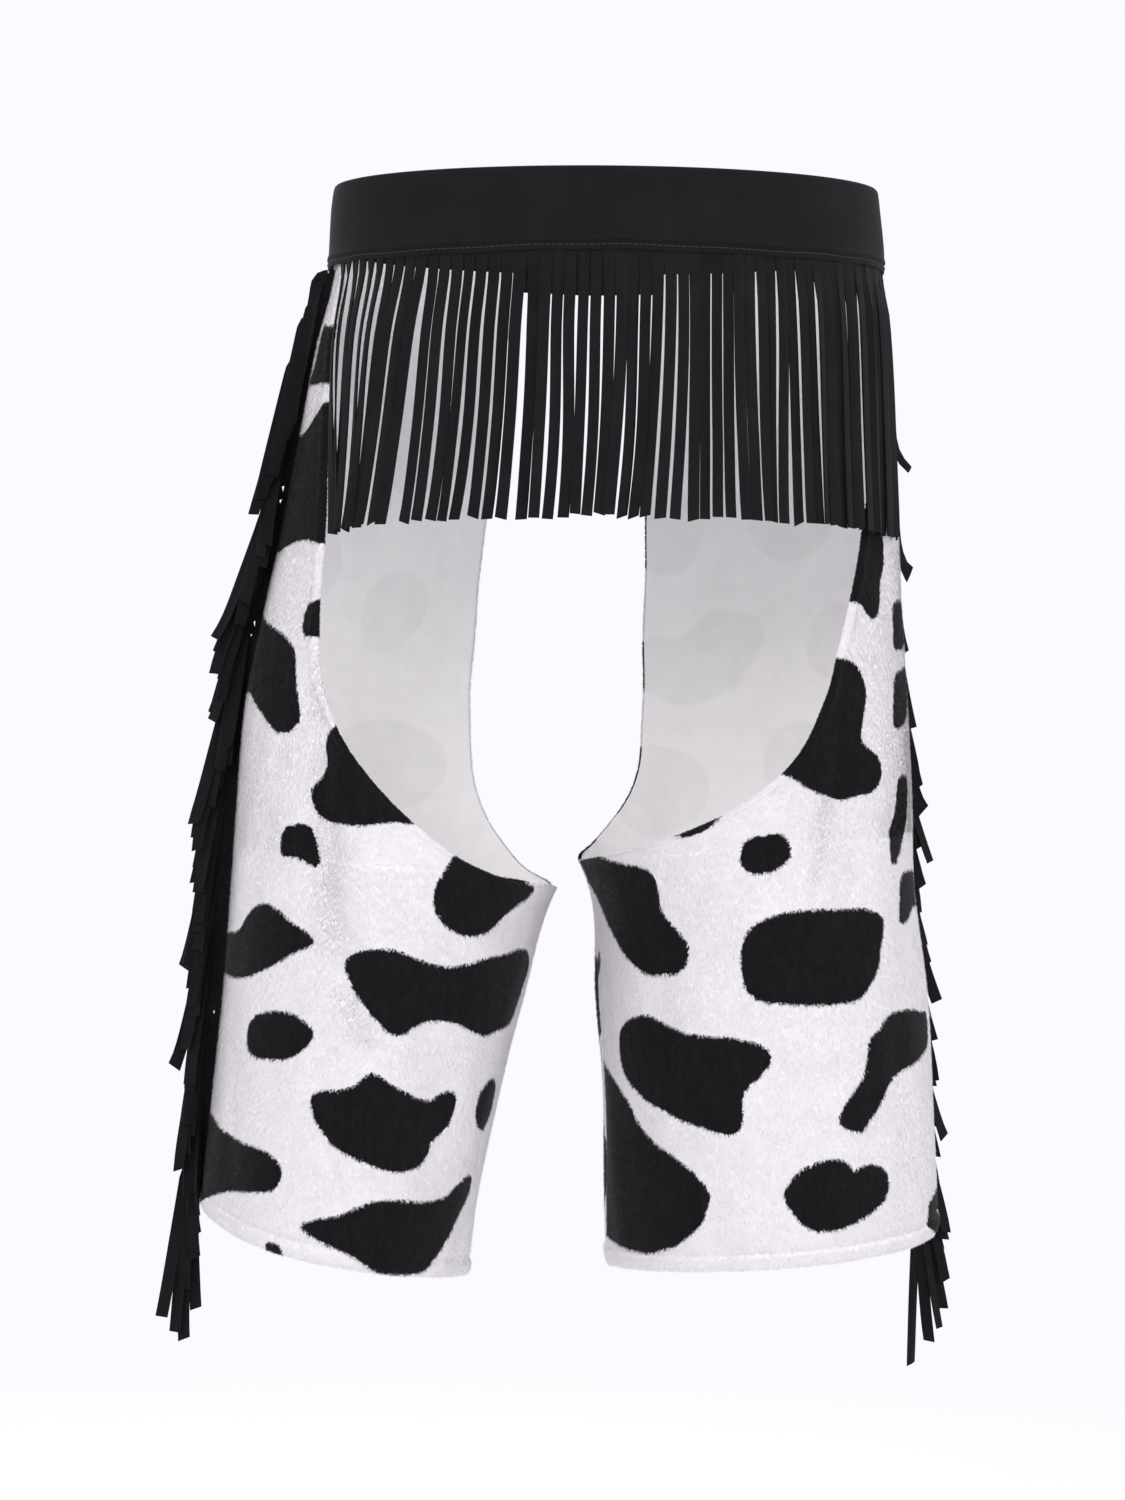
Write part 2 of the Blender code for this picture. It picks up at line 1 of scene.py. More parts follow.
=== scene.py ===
"""Looks of the open-backed costume chaps, in metres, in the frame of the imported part.

The front faces -Y, the wearer's left is +X and +Z is up. Each leg panel is a thin shell on its
solid's form, with finer folds, a turned-up hem and seams, and carries a short pile. The fringes
are strips of imitation suede, cut into strands, and the waistband is a sewn strip of it.
Angles round a leg start at its outer side (0) and run over the back (90) to the inner side (180),
or over the front (-90) to the same place.
"""
import math
from collections import namedtuple

import bmesh
import bpy
import numpy as np
from mathutils import Matrix


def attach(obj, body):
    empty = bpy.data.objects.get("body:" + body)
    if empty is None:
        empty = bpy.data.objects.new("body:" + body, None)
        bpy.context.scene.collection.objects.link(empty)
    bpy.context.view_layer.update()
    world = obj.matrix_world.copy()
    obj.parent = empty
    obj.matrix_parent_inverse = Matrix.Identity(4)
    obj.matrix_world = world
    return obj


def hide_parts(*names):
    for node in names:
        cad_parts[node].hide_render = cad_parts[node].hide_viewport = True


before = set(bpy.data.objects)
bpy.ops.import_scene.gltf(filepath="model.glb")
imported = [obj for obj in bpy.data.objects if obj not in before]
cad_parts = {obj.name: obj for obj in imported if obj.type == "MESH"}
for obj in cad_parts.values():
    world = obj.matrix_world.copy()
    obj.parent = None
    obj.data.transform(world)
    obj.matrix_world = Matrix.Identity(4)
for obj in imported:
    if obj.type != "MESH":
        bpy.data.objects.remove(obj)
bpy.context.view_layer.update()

MM = 0.001

# The waistband and the layers that it covers, as in the part's solids
BAND_TOP = 0.025
BAND_BOTTOM = -0.025
BAND_STEP = -0.013
BAND_HALF_WIDTH_TOP = 0.1635
BAND_HALF_WIDTH_BOTTOM = 0.1675
BAND_HALF_DEPTH_TOP = 0.107
BAND_HALF_DEPTH_BOTTOM = 0.118
BAND_OVERLAP = 0.050
BAND_DIP = 0.0034
BAND_DIP_RUN = 0.017
CLOTH_WALL = 0.0025
SUEDE_WALL = 0.001
GAP = 0.0003
PANEL_OUTER = CLOTH_WALL
HEADER_INNER = PANEL_OUTER + GAP
HEADER_OUTER = HEADER_INNER + SUEDE_WALL
LAP_INNER = HEADER_OUTER + GAP
BAND_OUTER = LAP_INNER + 0.0012
BAND_INNER = BAND_OUTER - 0.003

# The legs, as in the part's solids
LEFT = 1
RIGHT = -1
OPENING_STEPS = 12
LEG_STEPS = 70
PANEL_COLUMNS = 96            # even, because the inner face has half as many
COLUMN_CROWDING = 0.6         # how much closer the columns lie at a panel's edges
HEM_CROWDING = 1.35           # the rows lie closer towards the hem

Section = namedtuple("Section", "height centre_out centre_back half_width half_depth")
OpeningRow = namedtuple("OpeningRow", "seam_height back_height back_angle front_height front_angle")
Fold = namedtuple("Fold", "side top_angle bottom_angle top bottom half_width depth")
SeamTurn = namedtuple("SeamTurn", "height angle")


def rows_of(kind, rows):
    """A table's rows with their columns named."""
    return [kind(*row) for row in rows]


def mix(first, second, share):
    """Value between two others."""
    return first + (second - first) * share


def smoothstep(share):
    """Soft rise from 0 to 1."""
    share = np.clip(share, 0.0, 1.0)
    return share * share * (3.0 - 2.0 * share)


def run_along(points):
    """Length travelled along a line of points, from 0 at its first."""
    return np.concatenate([[0.0], np.cumsum(np.linalg.norm(np.diff(points, axis=0), axis=1))])


def bump(distance, half_width):
    """Soft hill of height 1 round zero."""
    return np.exp(-(distance / half_width) ** 2)


def band_radii(height, layer):
    """Half width and half depth of the waist ring at a height, at one layer of the stack."""
    share = (BAND_TOP - height) / (BAND_TOP - BAND_BOTTOM)
    inset = BAND_OUTER - layer
    half_width = mix(BAND_HALF_WIDTH_TOP, BAND_HALF_WIDTH_BOTTOM, share) - inset
    half_depth = mix(BAND_HALF_DEPTH_TOP, BAND_HALF_DEPTH_BOTTOM, share) - inset
    return half_width, half_depth


PANEL_TOP = BAND_STEP - GAP
PANEL_BEND = BAND_BOTTOM - 0.001
WAIST_SECTIONS = [
    Section(PANEL_TOP, 0.0, 0.0, *band_radii(PANEL_TOP, PANEL_OUTER)),
    Section(BAND_BOTTOM, 0.0, 0.0, *band_radii(BAND_BOTTOM, PANEL_OUTER)),
]
SECTIONS = {
    LEFT: WAIST_SECTIONS + rows_of(Section, [
        (-0.071, 0.004, 0.000, 0.172, 0.1190), (-0.131, 0.013, 0.001, 0.174, 0.1210),
        (-0.185, 0.028, 0.002, 0.169, 0.1220), (-0.221, 0.044, 0.003, 0.161, 0.1210),
        (-0.281, 0.080, 0.004, 0.137, 0.1165), (-0.341, 0.111, 0.003, 0.112, 0.1110),
        (-0.401, 0.131, 0.000, 0.0965, 0.1065), (-0.461, 0.141, -0.003, 0.0905, 0.1030),
        (-0.521, 0.151, -0.006, 0.086, 0.1000), (-0.581, 0.161, -0.009, 0.083, 0.0980),
        (-0.640, 0.167, -0.011, 0.083, 0.0970),
    ]),
    RIGHT: WAIST_SECTIONS + rows_of(Section, [
        (-0.071, 0.001, 0.000, 0.168, 0.1190), (-0.131, 0.003, 0.001, 0.170, 0.1210),
        (-0.185, 0.008, 0.002, 0.1685, 0.1220), (-0.221, 0.017, 0.003, 0.161, 0.1210),
        (-0.281, 0.045, 0.004, 0.136, 0.1155), (-0.341, 0.073, 0.003, 0.111, 0.1085),
        (-0.390, 0.0865, 0.001, 0.099, 0.1025), (-0.461, 0.094, -0.003, 0.100, 0.0980),
        (-0.521, 0.0985, -0.006, 0.100, 0.0955), (-0.581, 0.101, -0.009, 0.1015, 0.0940),
        (-0.640, 0.102, -0.011, 0.1015, 0.0930),
    ]),
}
OPENING = {
    LEFT: rows_of(OpeningRow, [
        (PANEL_TOP, PANEL_TOP, 12.2, PANEL_TOP, -74.0), (PANEL_BEND, PANEL_BEND, 13.0, PANEL_BEND, -73.8),
        (-0.084, -0.088, 20.0, -0.084, -73.0), (-0.150, -0.157, 27.3, -0.150, -75.0),
        (-0.205, -0.219, 34.0, -0.207, -79.0), (-0.248, -0.273, 42.5, -0.256, -87.0),
        (-0.280, -0.315, 60.5, -0.298, -97.0), (-0.307, -0.350, 83.0, -0.334, -109.0),
        (-0.330, -0.375, 107.0, -0.362, -125.0), (-0.349, -0.390, 138.0, -0.384, -148.0),
        (-0.365, -0.394, 180.0, -0.394, -180.0),
    ]),
    RIGHT: rows_of(OpeningRow, [
        (PANEL_TOP, PANEL_TOP, 13.5, PANEL_TOP, -74.5), (PANEL_BEND, PANEL_BEND, 14.5, PANEL_BEND, -74.7),
        (-0.084, -0.088, 22.5, -0.084, -76.0), (-0.150, -0.157, 31.5, -0.150, -78.0),
        (-0.205, -0.219, 42.0, -0.207, -81.0), (-0.245, -0.267, 53.5, -0.254, -88.0),
        (-0.276, -0.306, 67.5, -0.293, -97.0), (-0.300, -0.335, 86.5, -0.325, -108.0),
        (-0.321, -0.356, 111.0, -0.350, -124.0), (-0.340, -0.371, 142.0, -0.369, -147.0),
        (-0.355, -0.378, 180.0, -0.378, -180.0),
    ]),
}
HEM_SEAM_HEIGHT = {LEFT: -0.578, RIGHT: -0.590}
HEM_INSEAM_HEIGHT = {LEFT: -0.624, RIGHT: -0.620}
HEM_BOW_BACK = 0.17
HEM_BOW_FRONT = -0.26
SEAM_TURN = {
    LEFT: rows_of(SeamTurn, [
        (-0.013, 3.0), (-0.150, 1.0), (-0.640, 1.0),
    ]),
    RIGHT: rows_of(SeamTurn, [
        (-0.013, -8.0), (-0.150, -15.0), (-0.300, -25.0), (-0.640, -29.0),
    ]),
}
# The line down each leg from which places on the cloth are counted
PATTERN_TURN = {
    LEFT: rows_of(SeamTurn, [
        (-0.013, 8.0), (-0.150, 12.0), (-0.300, 13.0), (-0.640, 13.0),
    ]),
    RIGHT: SEAM_TURN[RIGHT],
}
FOLDS = rows_of(Fold, [
    (LEFT, 23.5, 77.0, -0.190, -0.470, 0.017, 0.0050),
    (LEFT, 110.0, 128.0, -0.400, -0.600, 0.022, 0.0030),
    (LEFT, -52.0, -70.0, -0.300, -0.560, 0.020, 0.0045),
    (LEFT, -120.0, -112.0, -0.380, -0.620, 0.020, 0.0035),
    (RIGHT, 45.0, 73.0, -0.230, -0.490, 0.018, 0.0040),
    (RIGHT, 96.0, 88.0, -0.410, -0.600, 0.024, 0.0025),
    (RIGHT, -60.0, -72.0, -0.240, -0.520, 0.020, 0.0045),
    (RIGHT, -128.0, -120.0, -0.360, -0.610, 0.020, 0.0035),
])


def read_table(rows, at):
    """Smooth values of a table's later columns where its first, falling column has the given values."""
    table = np.array(rows, dtype=float)
    keys = -table[:, 0]
    values = table[:, 1:]
    steps = np.diff(keys)
    slopes = np.diff(values, axis=0) / steps[:, None]
    tangents = np.vstack([slopes[:1], slopes, slopes[-1:]])
    before = np.concatenate([steps[:1], steps])
    after = np.concatenate([steps, steps[-1:]])
    weights = (after / (before + after))[:, None]
    tangents = tangents[:-1] * weights + tangents[1:] * (1.0 - weights)
    where = np.clip(-np.asarray(at, dtype=float), keys[0], keys[-1])
    index = np.clip(np.searchsorted(keys, where) - 1, 0, len(keys) - 2)
    step = steps[index][..., None]
    share = (where - keys[index])[..., None] / step
    rest = 1.0 - share
    start = values[index] * (1.0 + 2.0 * share) + tangents[index] * step * share
    end = values[index + 1] * (1.0 + 2.0 * rest) - tangents[index + 1] * step * rest
    return start * rest * rest + end * share * share


def curve_through(rows, steps, closed=False):
    """Rows on a smooth curve through the given ones, with a number of steps from each to the next."""
    table = np.array(rows, dtype=float)
    if closed:
        tangents = (np.roll(table, -1, axis=0) - np.roll(table, 1, axis=0)) / 2.0
        table = np.vstack([table, table[:1]])
        tangents = np.vstack([tangents, tangents[:1]])
    else:
        tangents = np.gradient(table, axis=0)
    points = [table[0]]
    for start, end, leave, arrive in zip(table[:-1], table[1:], tangents[:-1], tangents[1:]):
        for step in range(1, steps + 1):
            share = step / steps
            rest = 1.0 - share
            first = start * (1.0 + 2.0 * share) + leave * share
            second = end * (1.0 + 2.0 * rest) - arrive * rest
            points.append(first * rest * rest + second * share * share)
    return np.array(points)


def fold_depth(side, height, angle, half_depth):
    """How far the folds push the cloth inward at a place on a leg."""
    depth = np.zeros(np.broadcast(height, angle).shape)
    for fold in FOLDS:
        if fold.side != side:
            continue
        along = (fold.top - height) / (fold.top - fold.bottom)
        middle = mix(fold.top_angle, fold.bottom_angle, along)
        away = np.radians(angle - middle) * half_depth / fold.half_width
        fade = np.where((along > 0.0) & (along < 1.0), np.sin(math.pi * np.clip(along, 0.0, 1.0)) ** 2, 0.0)
        depth = depth + fold.depth * fade * np.exp(-away * away)
    return depth


def leg_point(side, height, angle, depth=0.0):
    """Points of a leg's outer surface, or below it by a depth, at heights and angles."""
    height, angle = np.broadcast_arrays(np.asarray(height, dtype=float), np.asarray(angle, dtype=float))
    centre_out, centre_back, half_width, half_depth = np.moveaxis(read_table(SECTIONS[side], height), -1, 0)
    sink = depth + fold_depth(side, height, angle, half_depth)
    turn = np.radians(angle)
    out = centre_out + (half_width - sink) * np.cos(turn)
    back = centre_back + (half_depth - sink) * np.sin(turn)
    return np.stack([side * out, back, height], axis=-1)


def arc_per_degree(side, height, angle):
    """Length along the cloth that one degree covers."""
    _, _, half_width, half_depth = np.moveaxis(read_table(SECTIONS[side], height), -1, 0)
    turn = np.radians(angle)
    return np.radians(1.0) * np.hypot(half_width * np.sin(turn), half_depth * np.cos(turn))


def seam_angle(side, height):
    """Angle of the outseam at a height."""
    return read_table(SEAM_TURN[side], height)[..., 0]


def panel_rows(side, back):
    """Each row of a panel: outseam height, edge height, edge angle and how far the row bows down."""
    opening = curve_through(OPENING[side], OPENING_STEPS)
    seam = opening[:, 0]
    edge = opening[:, 1] if back else opening[:, 3]
    angle = opening[:, 2] if back else opening[:, 4]
    down = 1.0 - (1.0 - np.linspace(0.0, 1.0, LEG_STEPS + 1)[1:]) ** HEM_CROWDING
    seam = np.concatenate([seam, mix(seam[-1], HEM_SEAM_HEIGHT[side], down)])
    edge = np.concatenate([edge, mix(edge[-1], HEM_INSEAM_HEIGHT[side], down)])
    angle = np.concatenate([angle, np.full(LEG_STEPS, angle[-1])])
    bow = np.concatenate([np.zeros(len(opening)), down * (HEM_BOW_BACK if back else HEM_BOW_FRONT)])
    return seam, edge, angle, bow


# Sewing and fine form of the cloth
BACKING_DEPTH = 0.0011        # from the solid's face, where the pile ends, down to the cloth that carries it
SEAM_DIP = 0.0010
SEAM_DIP_WIDTH = 0.0030
HEM_FOLD = 0.0085             # height of the turned-up hem
HEM_PUFF = 0.0011
HEM_GROOVE = 0.0009
HEM_GROOVE_WIDTH = 0.0012
EDGE_ROLL = 0.0008
EDGE_ROLL_WIDTH = 0.0018
EDGE_PUFF = 0.0006
EDGE_PUFF_PLACE = 0.0045
EDGE_PUFF_WIDTH = 0.0028

# Narrow creases, as places on a panel in mm: along the cloth from the pattern's line, and height
Crease = namedtuple("Crease", "side back top_across top bottom_across bottom half_width depth")
CREASES = rows_of(Crease, [
    (LEFT, True, 100, -528, 122, -582, 3.0, 0.9),
    (LEFT, True, 62, -225, 84, -372, 9.0, 1.9),
    (LEFT, True, 78, -345, 124, -500, 9.0, 1.9),
    (LEFT, True, 150, -420, 176, -560, 12.0, 1.2),
    (LEFT, True, 30, -250, 40, -330, 8.0, 0.7),
    (LEFT, True, 20, -470, 34, -575, 9.0, 0.8),
    (LEFT, False, 60, -250, 96, -430, 7.0, 1.2),
    (LEFT, False, 150, -330, 168, -520, 9.0, 1.3),
    (LEFT, False, 215, -430, 232, -600, 6.0, 0.9),
    (LEFT, False, 96, -60, 112, -240, 11.0, 1.4),
    (RIGHT, True, 140, -470, 156, -555, 3.0, 0.8),
    (RIGHT, True, 150, -240, 172, -350, 6.0, 0.9),
    (RIGHT, True, 172, -330, 192, -420, 4.0, 0.8),
    (RIGHT, True, 120, -400, 126, -520, 9.0, 0.9),
    (RIGHT, True, 240, -420, 232, -560, 12.0, 1.0),
    (RIGHT, False, 50, -230, 84, -420, 8.0, 1.2),
    (RIGHT, False, 128, -320, 140, -540, 10.0, 1.3),
    (RIGHT, False, 190, -410, 206, -590, 6.0, 0.9),
    (RIGHT, False, 70, -70, 92, -230, 11.0, 1.4),
])

# Low waves of the whole cloth: length across and down in mm, height in mm and phase
Wave = namedtuple("Wave", "across down height phase")
WAVES = rows_of(Wave, [
    (83.0, 310.0, 0.55, 0.4), (-47.0, 190.0, 0.30, 2.1), (29.0, -130.0, 0.14, 4.0),
])

# Places where the rows of the pile part like a comb, with painted shadow in the grooves and painted shade over the
# parted pile: a line on the panel, in mm, its width and strength
Ribbing = namedtuple("Ribbing", "side back top_across top bottom_across bottom half_width strength")
RIBBINGS = rows_of(Ribbing, [
    (LEFT, True, -8, -205, -9, -565, 11.0, 1.0),
    (LEFT, True, 62, -232, 66, -300, 7.0, 1.0),
    (LEFT, True, 68, -300, 100, -440, 9.0, 1.0),
    (LEFT, True, 100, -440, 122, -485, 9.0, 0.6),
    (LEFT, False, 30, -225, 30, -570, 9.0, 0.8),
    (RIGHT, True, 6, -220, 8, -570, 10.0, 0.8),
    (RIGHT, True, 168, -300, 186, -400, 6.0, 0.4),
    (RIGHT, False, 4, -220, 4, -570, 10.0, 0.8),
])
RIB_PITCH = 1.9               # mm
RIB_SHADOW = 0.55             # painted shadow: how much darker the grooves between the ribs are
RIB_PAINTED_SHADE = 0.17          # painted shade: how much darker the parted pile is as a whole
RIB_SLANT = 0.9               # how far a rib climbs for each mm across

# Black patches: outlines on the cloth in mm, along it from the pattern's line, and down from the waist line
PATCHES = {
    (LEFT, True): [
        [(-1, 60), (10, 61), (32, 60), (45, 68), (46, 84), (32, 95), (8, 95), (-10, 95), (-14, 92), (-6, 86),
         (-3, 75)],
        [(-30, 131), (-5, 123), (10, 114), (24, 107), (48, 106), (66, 150), (54, 189), (20, 188), (-30, 190)],
        [(-30, 230), (0, 236), (20, 242), (33, 249), (40, 258), (46, 275), (52, 291), (50, 297), (43, 301),
         (33, 299), (20, 291), (5, 283), (-8, 277), (-30, 272)],
        [(39, 228), (47, 224), (64, 221), (68, 246), (52, 245), (41, 243)],
        [(78, 299), (90, 292), (130, 320), (156, 352), (125, 352), (105, 354), (85, 352), (76, 349), (70, 341),
         (68, 333), (74, 326), (77, 318), (74, 310), (74, 303)],
        [(55, 355), (62, 353), (70, 354), (75, 360), (78, 368), (82, 377), (78, 378), (70, 374), (62, 372),
         (54, 372), (52, 366), (52, 360)],
        [(-30, 421), (-8, 418), (14, 416), (22, 410), (33, 402), (45, 399), (55, 402), (65, 408), (80, 416),
         (85, 420), (80, 424), (72, 427), (55, 435), (35, 442), (15, 444), (-10, 443), (-30, 440)],
        [(38, 470), (42, 466), (48, 463), (60, 461), (72, 462), (83, 467), (89, 473), (86, 480), (78, 486),
         (70, 489), (50, 489), (41, 486), (37, 479)],
        [(167, 368), (182, 374), (210, 384), (232, 391), (228, 397), (222, 399), (210, 404), (200, 411),
         (193, 416), (180, 418), (172, 416), (162, 411), (155, 401), (154, 391), (157, 382)],
        [(104, 432), (112, 426), (125, 424), (137, 426), (152, 432), (166, 435), (180, 434), (193, 431),
         (213, 429), (227, 427), (243, 428), (256, 433), (261, 441), (255, 449), (247, 462), (240, 470),
         (213, 475), (203, 477), (193, 475), (181, 470), (170, 467), (157, 467), (148, 470), (142, 474),
         (133, 473), (128, 468), (120, 460), (112, 450), (107, 441)],
        [(91, 508), (100, 506), (110, 505), (118, 501), (123, 496), (128, 496), (135, 501), (145, 506),
         (155, 511), (165, 513), (172, 510), (178, 508), (184, 509), (186, 517), (183, 528), (178, 533),
         (170, 539), (168, 546), (162, 551), (150, 554), (138, 552), (125, 547), (110, 540), (98, 528),
         (92, 518)],
        [(206, 511), (210, 508), (217, 503), (230, 508), (232, 522), (222, 534), (210, 531), (205, 522)],
        [(-20, 530), (0, 529), (20, 534), (40, 538), (60, 541), (72, 546), (78, 554), (75, 563), (68, 566),
         (50, 567), (35, 568), (20, 571), (8, 574), (-8, 579), (-20, 580)],
        [(93, 584), (100, 581), (115, 578), (127, 573), (138, 570), (150, 570), (165, 572), (180, 572),
         (190, 570), (198, 565), (208, 561), (217, 561), (221, 566), (217, 576), (207, 584), (200, 592),
         (190, 602), (180, 610), (170, 614), (155, 614), (142, 612), (135, 608), (125, 602), (110, 595),
         (98, 589)],
        [(73, 595), (82, 596), (84, 604), (74, 604)],
    ],
    (RIGHT, True): [
        [(98, 190), (100, 168), (126, 166), (148, 168), (154, 222), (140, 224), (131, 226), (127, 231),
         (122, 234), (116, 231), (110, 222), (107, 212), (101, 203)],
        [(142, 262), (150, 258), (160, 257), (176, 256), (222, 322), (205, 325), (198, 328), (190, 333),
         (178, 337), (166, 340), (155, 338), (142, 336), (133, 330), (130, 322), (133, 314), (142, 308),
         (145, 303), (142, 293), (139, 284), (137, 274)],
        [(241, 345), (262, 340), (283, 341), (288, 355), (268, 361), (252, 358)],
        [(202, 363), (207, 359), (215, 360), (225, 362), (230, 370), (229, 378), (222, 382), (212, 381),
         (203, 376), (200, 370)],
        [(283, 384), (288, 380), (298, 378), (320, 375), (345, 371), (368, 371), (368, 386), (357, 394),
         (349, 400), (334, 413), (322, 422), (314, 429), (303, 437), (292, 442), (282, 442), (271, 441),
         (265, 437), (262, 430), (262, 424), (266, 418), (273, 411), (279, 404), (280, 396)],
        [(140, 405), (150, 403), (170, 403), (190, 403), (205, 405), (215, 408), (223, 413), (228, 420),
         (230, 430), (230, 441), (228, 450), (220, 456), (205, 458), (190, 459), (170, 458), (158, 456),
         (150, 449), (142, 439), (139, 428), (135, 416), (135, 409)],
        [(70, 262), (92, 263), (105, 268), (110, 281), (113, 296), (100, 297), (74, 288)],
        [(94, 328), (109, 326), (113, 330), (116, 340), (120, 350), (125, 358), (125, 370), (122, 378),
         (116, 377), (108, 366), (98, 352)],
        [(66, 384), (92, 382), (105, 383), (111, 388), (113, 398), (115, 410), (112, 413), (100, 411),
         (88, 404), (70, 402)],
        [(80, 468), (95, 466), (105, 464), (120, 464), (135, 466), (143, 473), (152, 480), (154, 490),
         (156, 500), (162, 508), (168, 516), (173, 526), (168, 532), (158, 534), (152, 528), (143, 518),
         (136, 508), (128, 502), (115, 498), (103, 495), (90, 490), (80, 484)],
        [(138, 563), (140, 558), (147, 554), (157, 553), (163, 558), (167, 552), (175, 549), (188, 551),
         (198, 556), (205, 563), (208, 571), (203, 580), (197, 587), (190, 591), (178, 591), (165, 588),
         (150, 581), (140, 573)],
        [(215, 485), (222, 481), (235, 478), (250, 477), (268, 475), (282, 470), (293, 466), (306, 468),
         (320, 478), (318, 500), (300, 515), (285, 521), (270, 527), (255, 531), (242, 535), (234, 533),
         (231, 525), (231, 512), (226, 505), (219, 499), (214, 492)],
        [(253, 577), (252, 570), (258, 561), (268, 553), (280, 546), (292, 540), (304, 530), (314, 518),
         (330, 506), (348, 497), (368, 497), (368, 560), (366, 596), (340, 604),
         (300, 608), (285, 605), (275, 602), (265, 595), (257, 587)],
        [(352, 432), (368, 430), (368, 448), (355, 446), (350, 439)],
        [(62, 574), (93, 578), (99, 588), (95, 597), (62, 600)],
        [(66, 224), (92, 223), (97, 238), (99, 250), (86, 251), (68, 244)],
        [(14, 150), (34, 146), (50, 156), (46, 178), (24, 184), (10, 170)],
        [(10, 300), (32, 306), (44, 326), (30, 344), (8, 340)],
        [(18, 520), (44, 512), (58, 530), (50, 552), (22, 556)],
        [(30, 70), (56, 60), (70, 76), (62, 100), (38, 104)],
    ],
    (LEFT, False): [
        [(-25, 124), (6, 122), (26, 130), (37, 146), (34, 168), (18, 186), (-25, 189)],
        [(-25, 236), (8, 238), (20, 250), (22, 268), (10, 280), (-25, 283)],
        [(56, 62), (84, 50), (104, 62), (108, 84), (92, 104), (70, 100), (58, 84)],
        [(120, 96), (146, 92), (166, 108), (186, 112), (190, 138), (166, 152), (140, 146), (124, 124)],
        [(62, 178), (88, 168), (112, 178), (122, 202), (104, 224), (78, 226), (60, 206)],
        [(150, 208), (176, 200), (192, 216), (188, 238), (166, 252), (148, 236)],
        [(48, 296), (78, 286), (104, 296), (118, 318), (108, 344), (84, 352), (64, 338), (48, 322)],
        [(150, 300), (180, 292), (214, 304), (222, 326), (204, 346), (176, 342), (160, 326)],
        [(18, 368), (40, 360), (60, 372), (58, 394), (38, 404), (18, 392)],
        [(104, 392), (136, 380), (160, 394), (182, 396), (190, 418), (170, 438), (140, 434), (116, 424)],
        [(224, 392), (252, 386), (276, 402), (272, 430), (246, 440), (228, 420)],
        [(32, 446), (62, 438), (84, 452), (90, 476), (70, 496), (42, 490), (26, 470)],
        [(130, 478), (156, 470), (178, 482), (182, 504), (160, 518), (136, 508)],
        [(222, 482), (248, 474), (262, 490), (258, 520), (236, 530), (218, 510)],
        [(-25, 530), (10, 530), (28, 542), (26, 562), (8, 574), (-25, 576)],
        [(78, 540), (110, 530), (136, 544), (140, 566), (116, 584), (88, 578), (74, 560)],
        [(186, 560), (216, 552), (242, 562), (250, 590), (222, 606), (194, 596)],
    ],
    (RIGHT, False): [
        [(16, 64), (40, 54), (60, 68), (58, 94), (36, 104), (18, 90)],
        [(92, 76), (118, 66), (140, 78), (144, 104), (120, 118), (96, 108)],
        [(38, 144), (68, 136), (92, 150), (96, 176), (72, 194), (46, 186), (34, 166)],
        [(128, 160), (154, 150), (172, 164), (170, 190), (146, 202), (128, 188)],
        [(10, 226), (30, 220), (48, 232), (50, 256), (30, 268), (10, 256)],
        [(82, 232), (112, 224), (136, 240), (158, 242), (166, 264), (142, 282), (112, 278), (90, 260)],
        [(34, 302), (62, 294), (80, 310), (78, 336), (54, 348), (32, 332)],
        [(124, 318), (154, 308), (180, 320), (186, 346), (162, 366), (132, 358), (118, 338)],
        [(210, 356), (240, 350), (262, 366), (258, 392), (232, 402), (212, 384)],
        [(20, 384), (44, 376), (66, 388), (86, 392), (90, 414), (66, 430), (36, 424), (18, 406)],
        [(128, 404), (158, 396), (182, 408), (184, 436), (158, 450), (132, 438)],
        [(220, 440), (248, 430), (270, 446), (272, 470), (248, 486), (224, 470)],
        [(48, 464), (78, 456), (100, 470), (104, 494), (80, 510), (54, 500)],
        [(142, 492), (172, 484), (194, 498), (198, 524), (172, 540), (144, 528), (134, 508)],
        [(14, 538), (40, 530), (58, 544), (54, 568), (30, 578), (12, 562)],
        [(92, 556), (118, 546), (138, 560), (136, 586), (110, 596), (90, 580)],
        [(214, 540), (242, 532), (258, 552), (254, 582), (226, 594), (208, 570)],
    ],
}
PATCH_STEPS = 5
FAR_FROM_PATCH = 30.0         # mm


def patch_distance(side, back, across, height):
    """Distance in mm from places on a panel to the nearest black patch's outline, negative inside one."""
    shape = across.shape
    x = across.ravel() / MM * (1.0 if back else -1.0)
    y = -height.ravel() / MM
    nearest = np.full(x.shape, FAR_FROM_PATCH)
    for outline in PATCHES[side, back]:
        curve = curve_through(outline, PATCH_STEPS, closed=True)
        low, high = curve.min(axis=0) - FAR_FROM_PATCH, curve.max(axis=0) + FAR_FROM_PATCH
        near = np.flatnonzero((x > low[0]) & (x < high[0]) & (y > low[1]) & (y < high[1]))
        px, py = x[near, None], y[near, None]
        start, end = curve[:-1], curve[1:]
        run = end - start
        share = ((px - start[:, 0]) * run[:, 0] + (py - start[:, 1]) * run[:, 1]) / (run ** 2).sum(axis=1)
        share = np.clip(share, 0.0, 1.0)
        away = np.hypot(px - start[:, 0] - run[:, 0] * share, py - start[:, 1] - run[:, 1] * share).min(axis=1)
        crosses = (start[:, 1] > py) != (end[:, 1] > py)
        rise = np.where(run[:, 1] == 0.0, 1.0, run[:, 1])
        left = px < start[:, 0] + (py - start[:, 1]) * run[:, 0] / rise
        inside = (crosses & left).sum(axis=1) % 2 == 1
        nearest[near] = np.minimum(nearest[near], np.where(inside, -away, away))
    return nearest.reshape(shape)


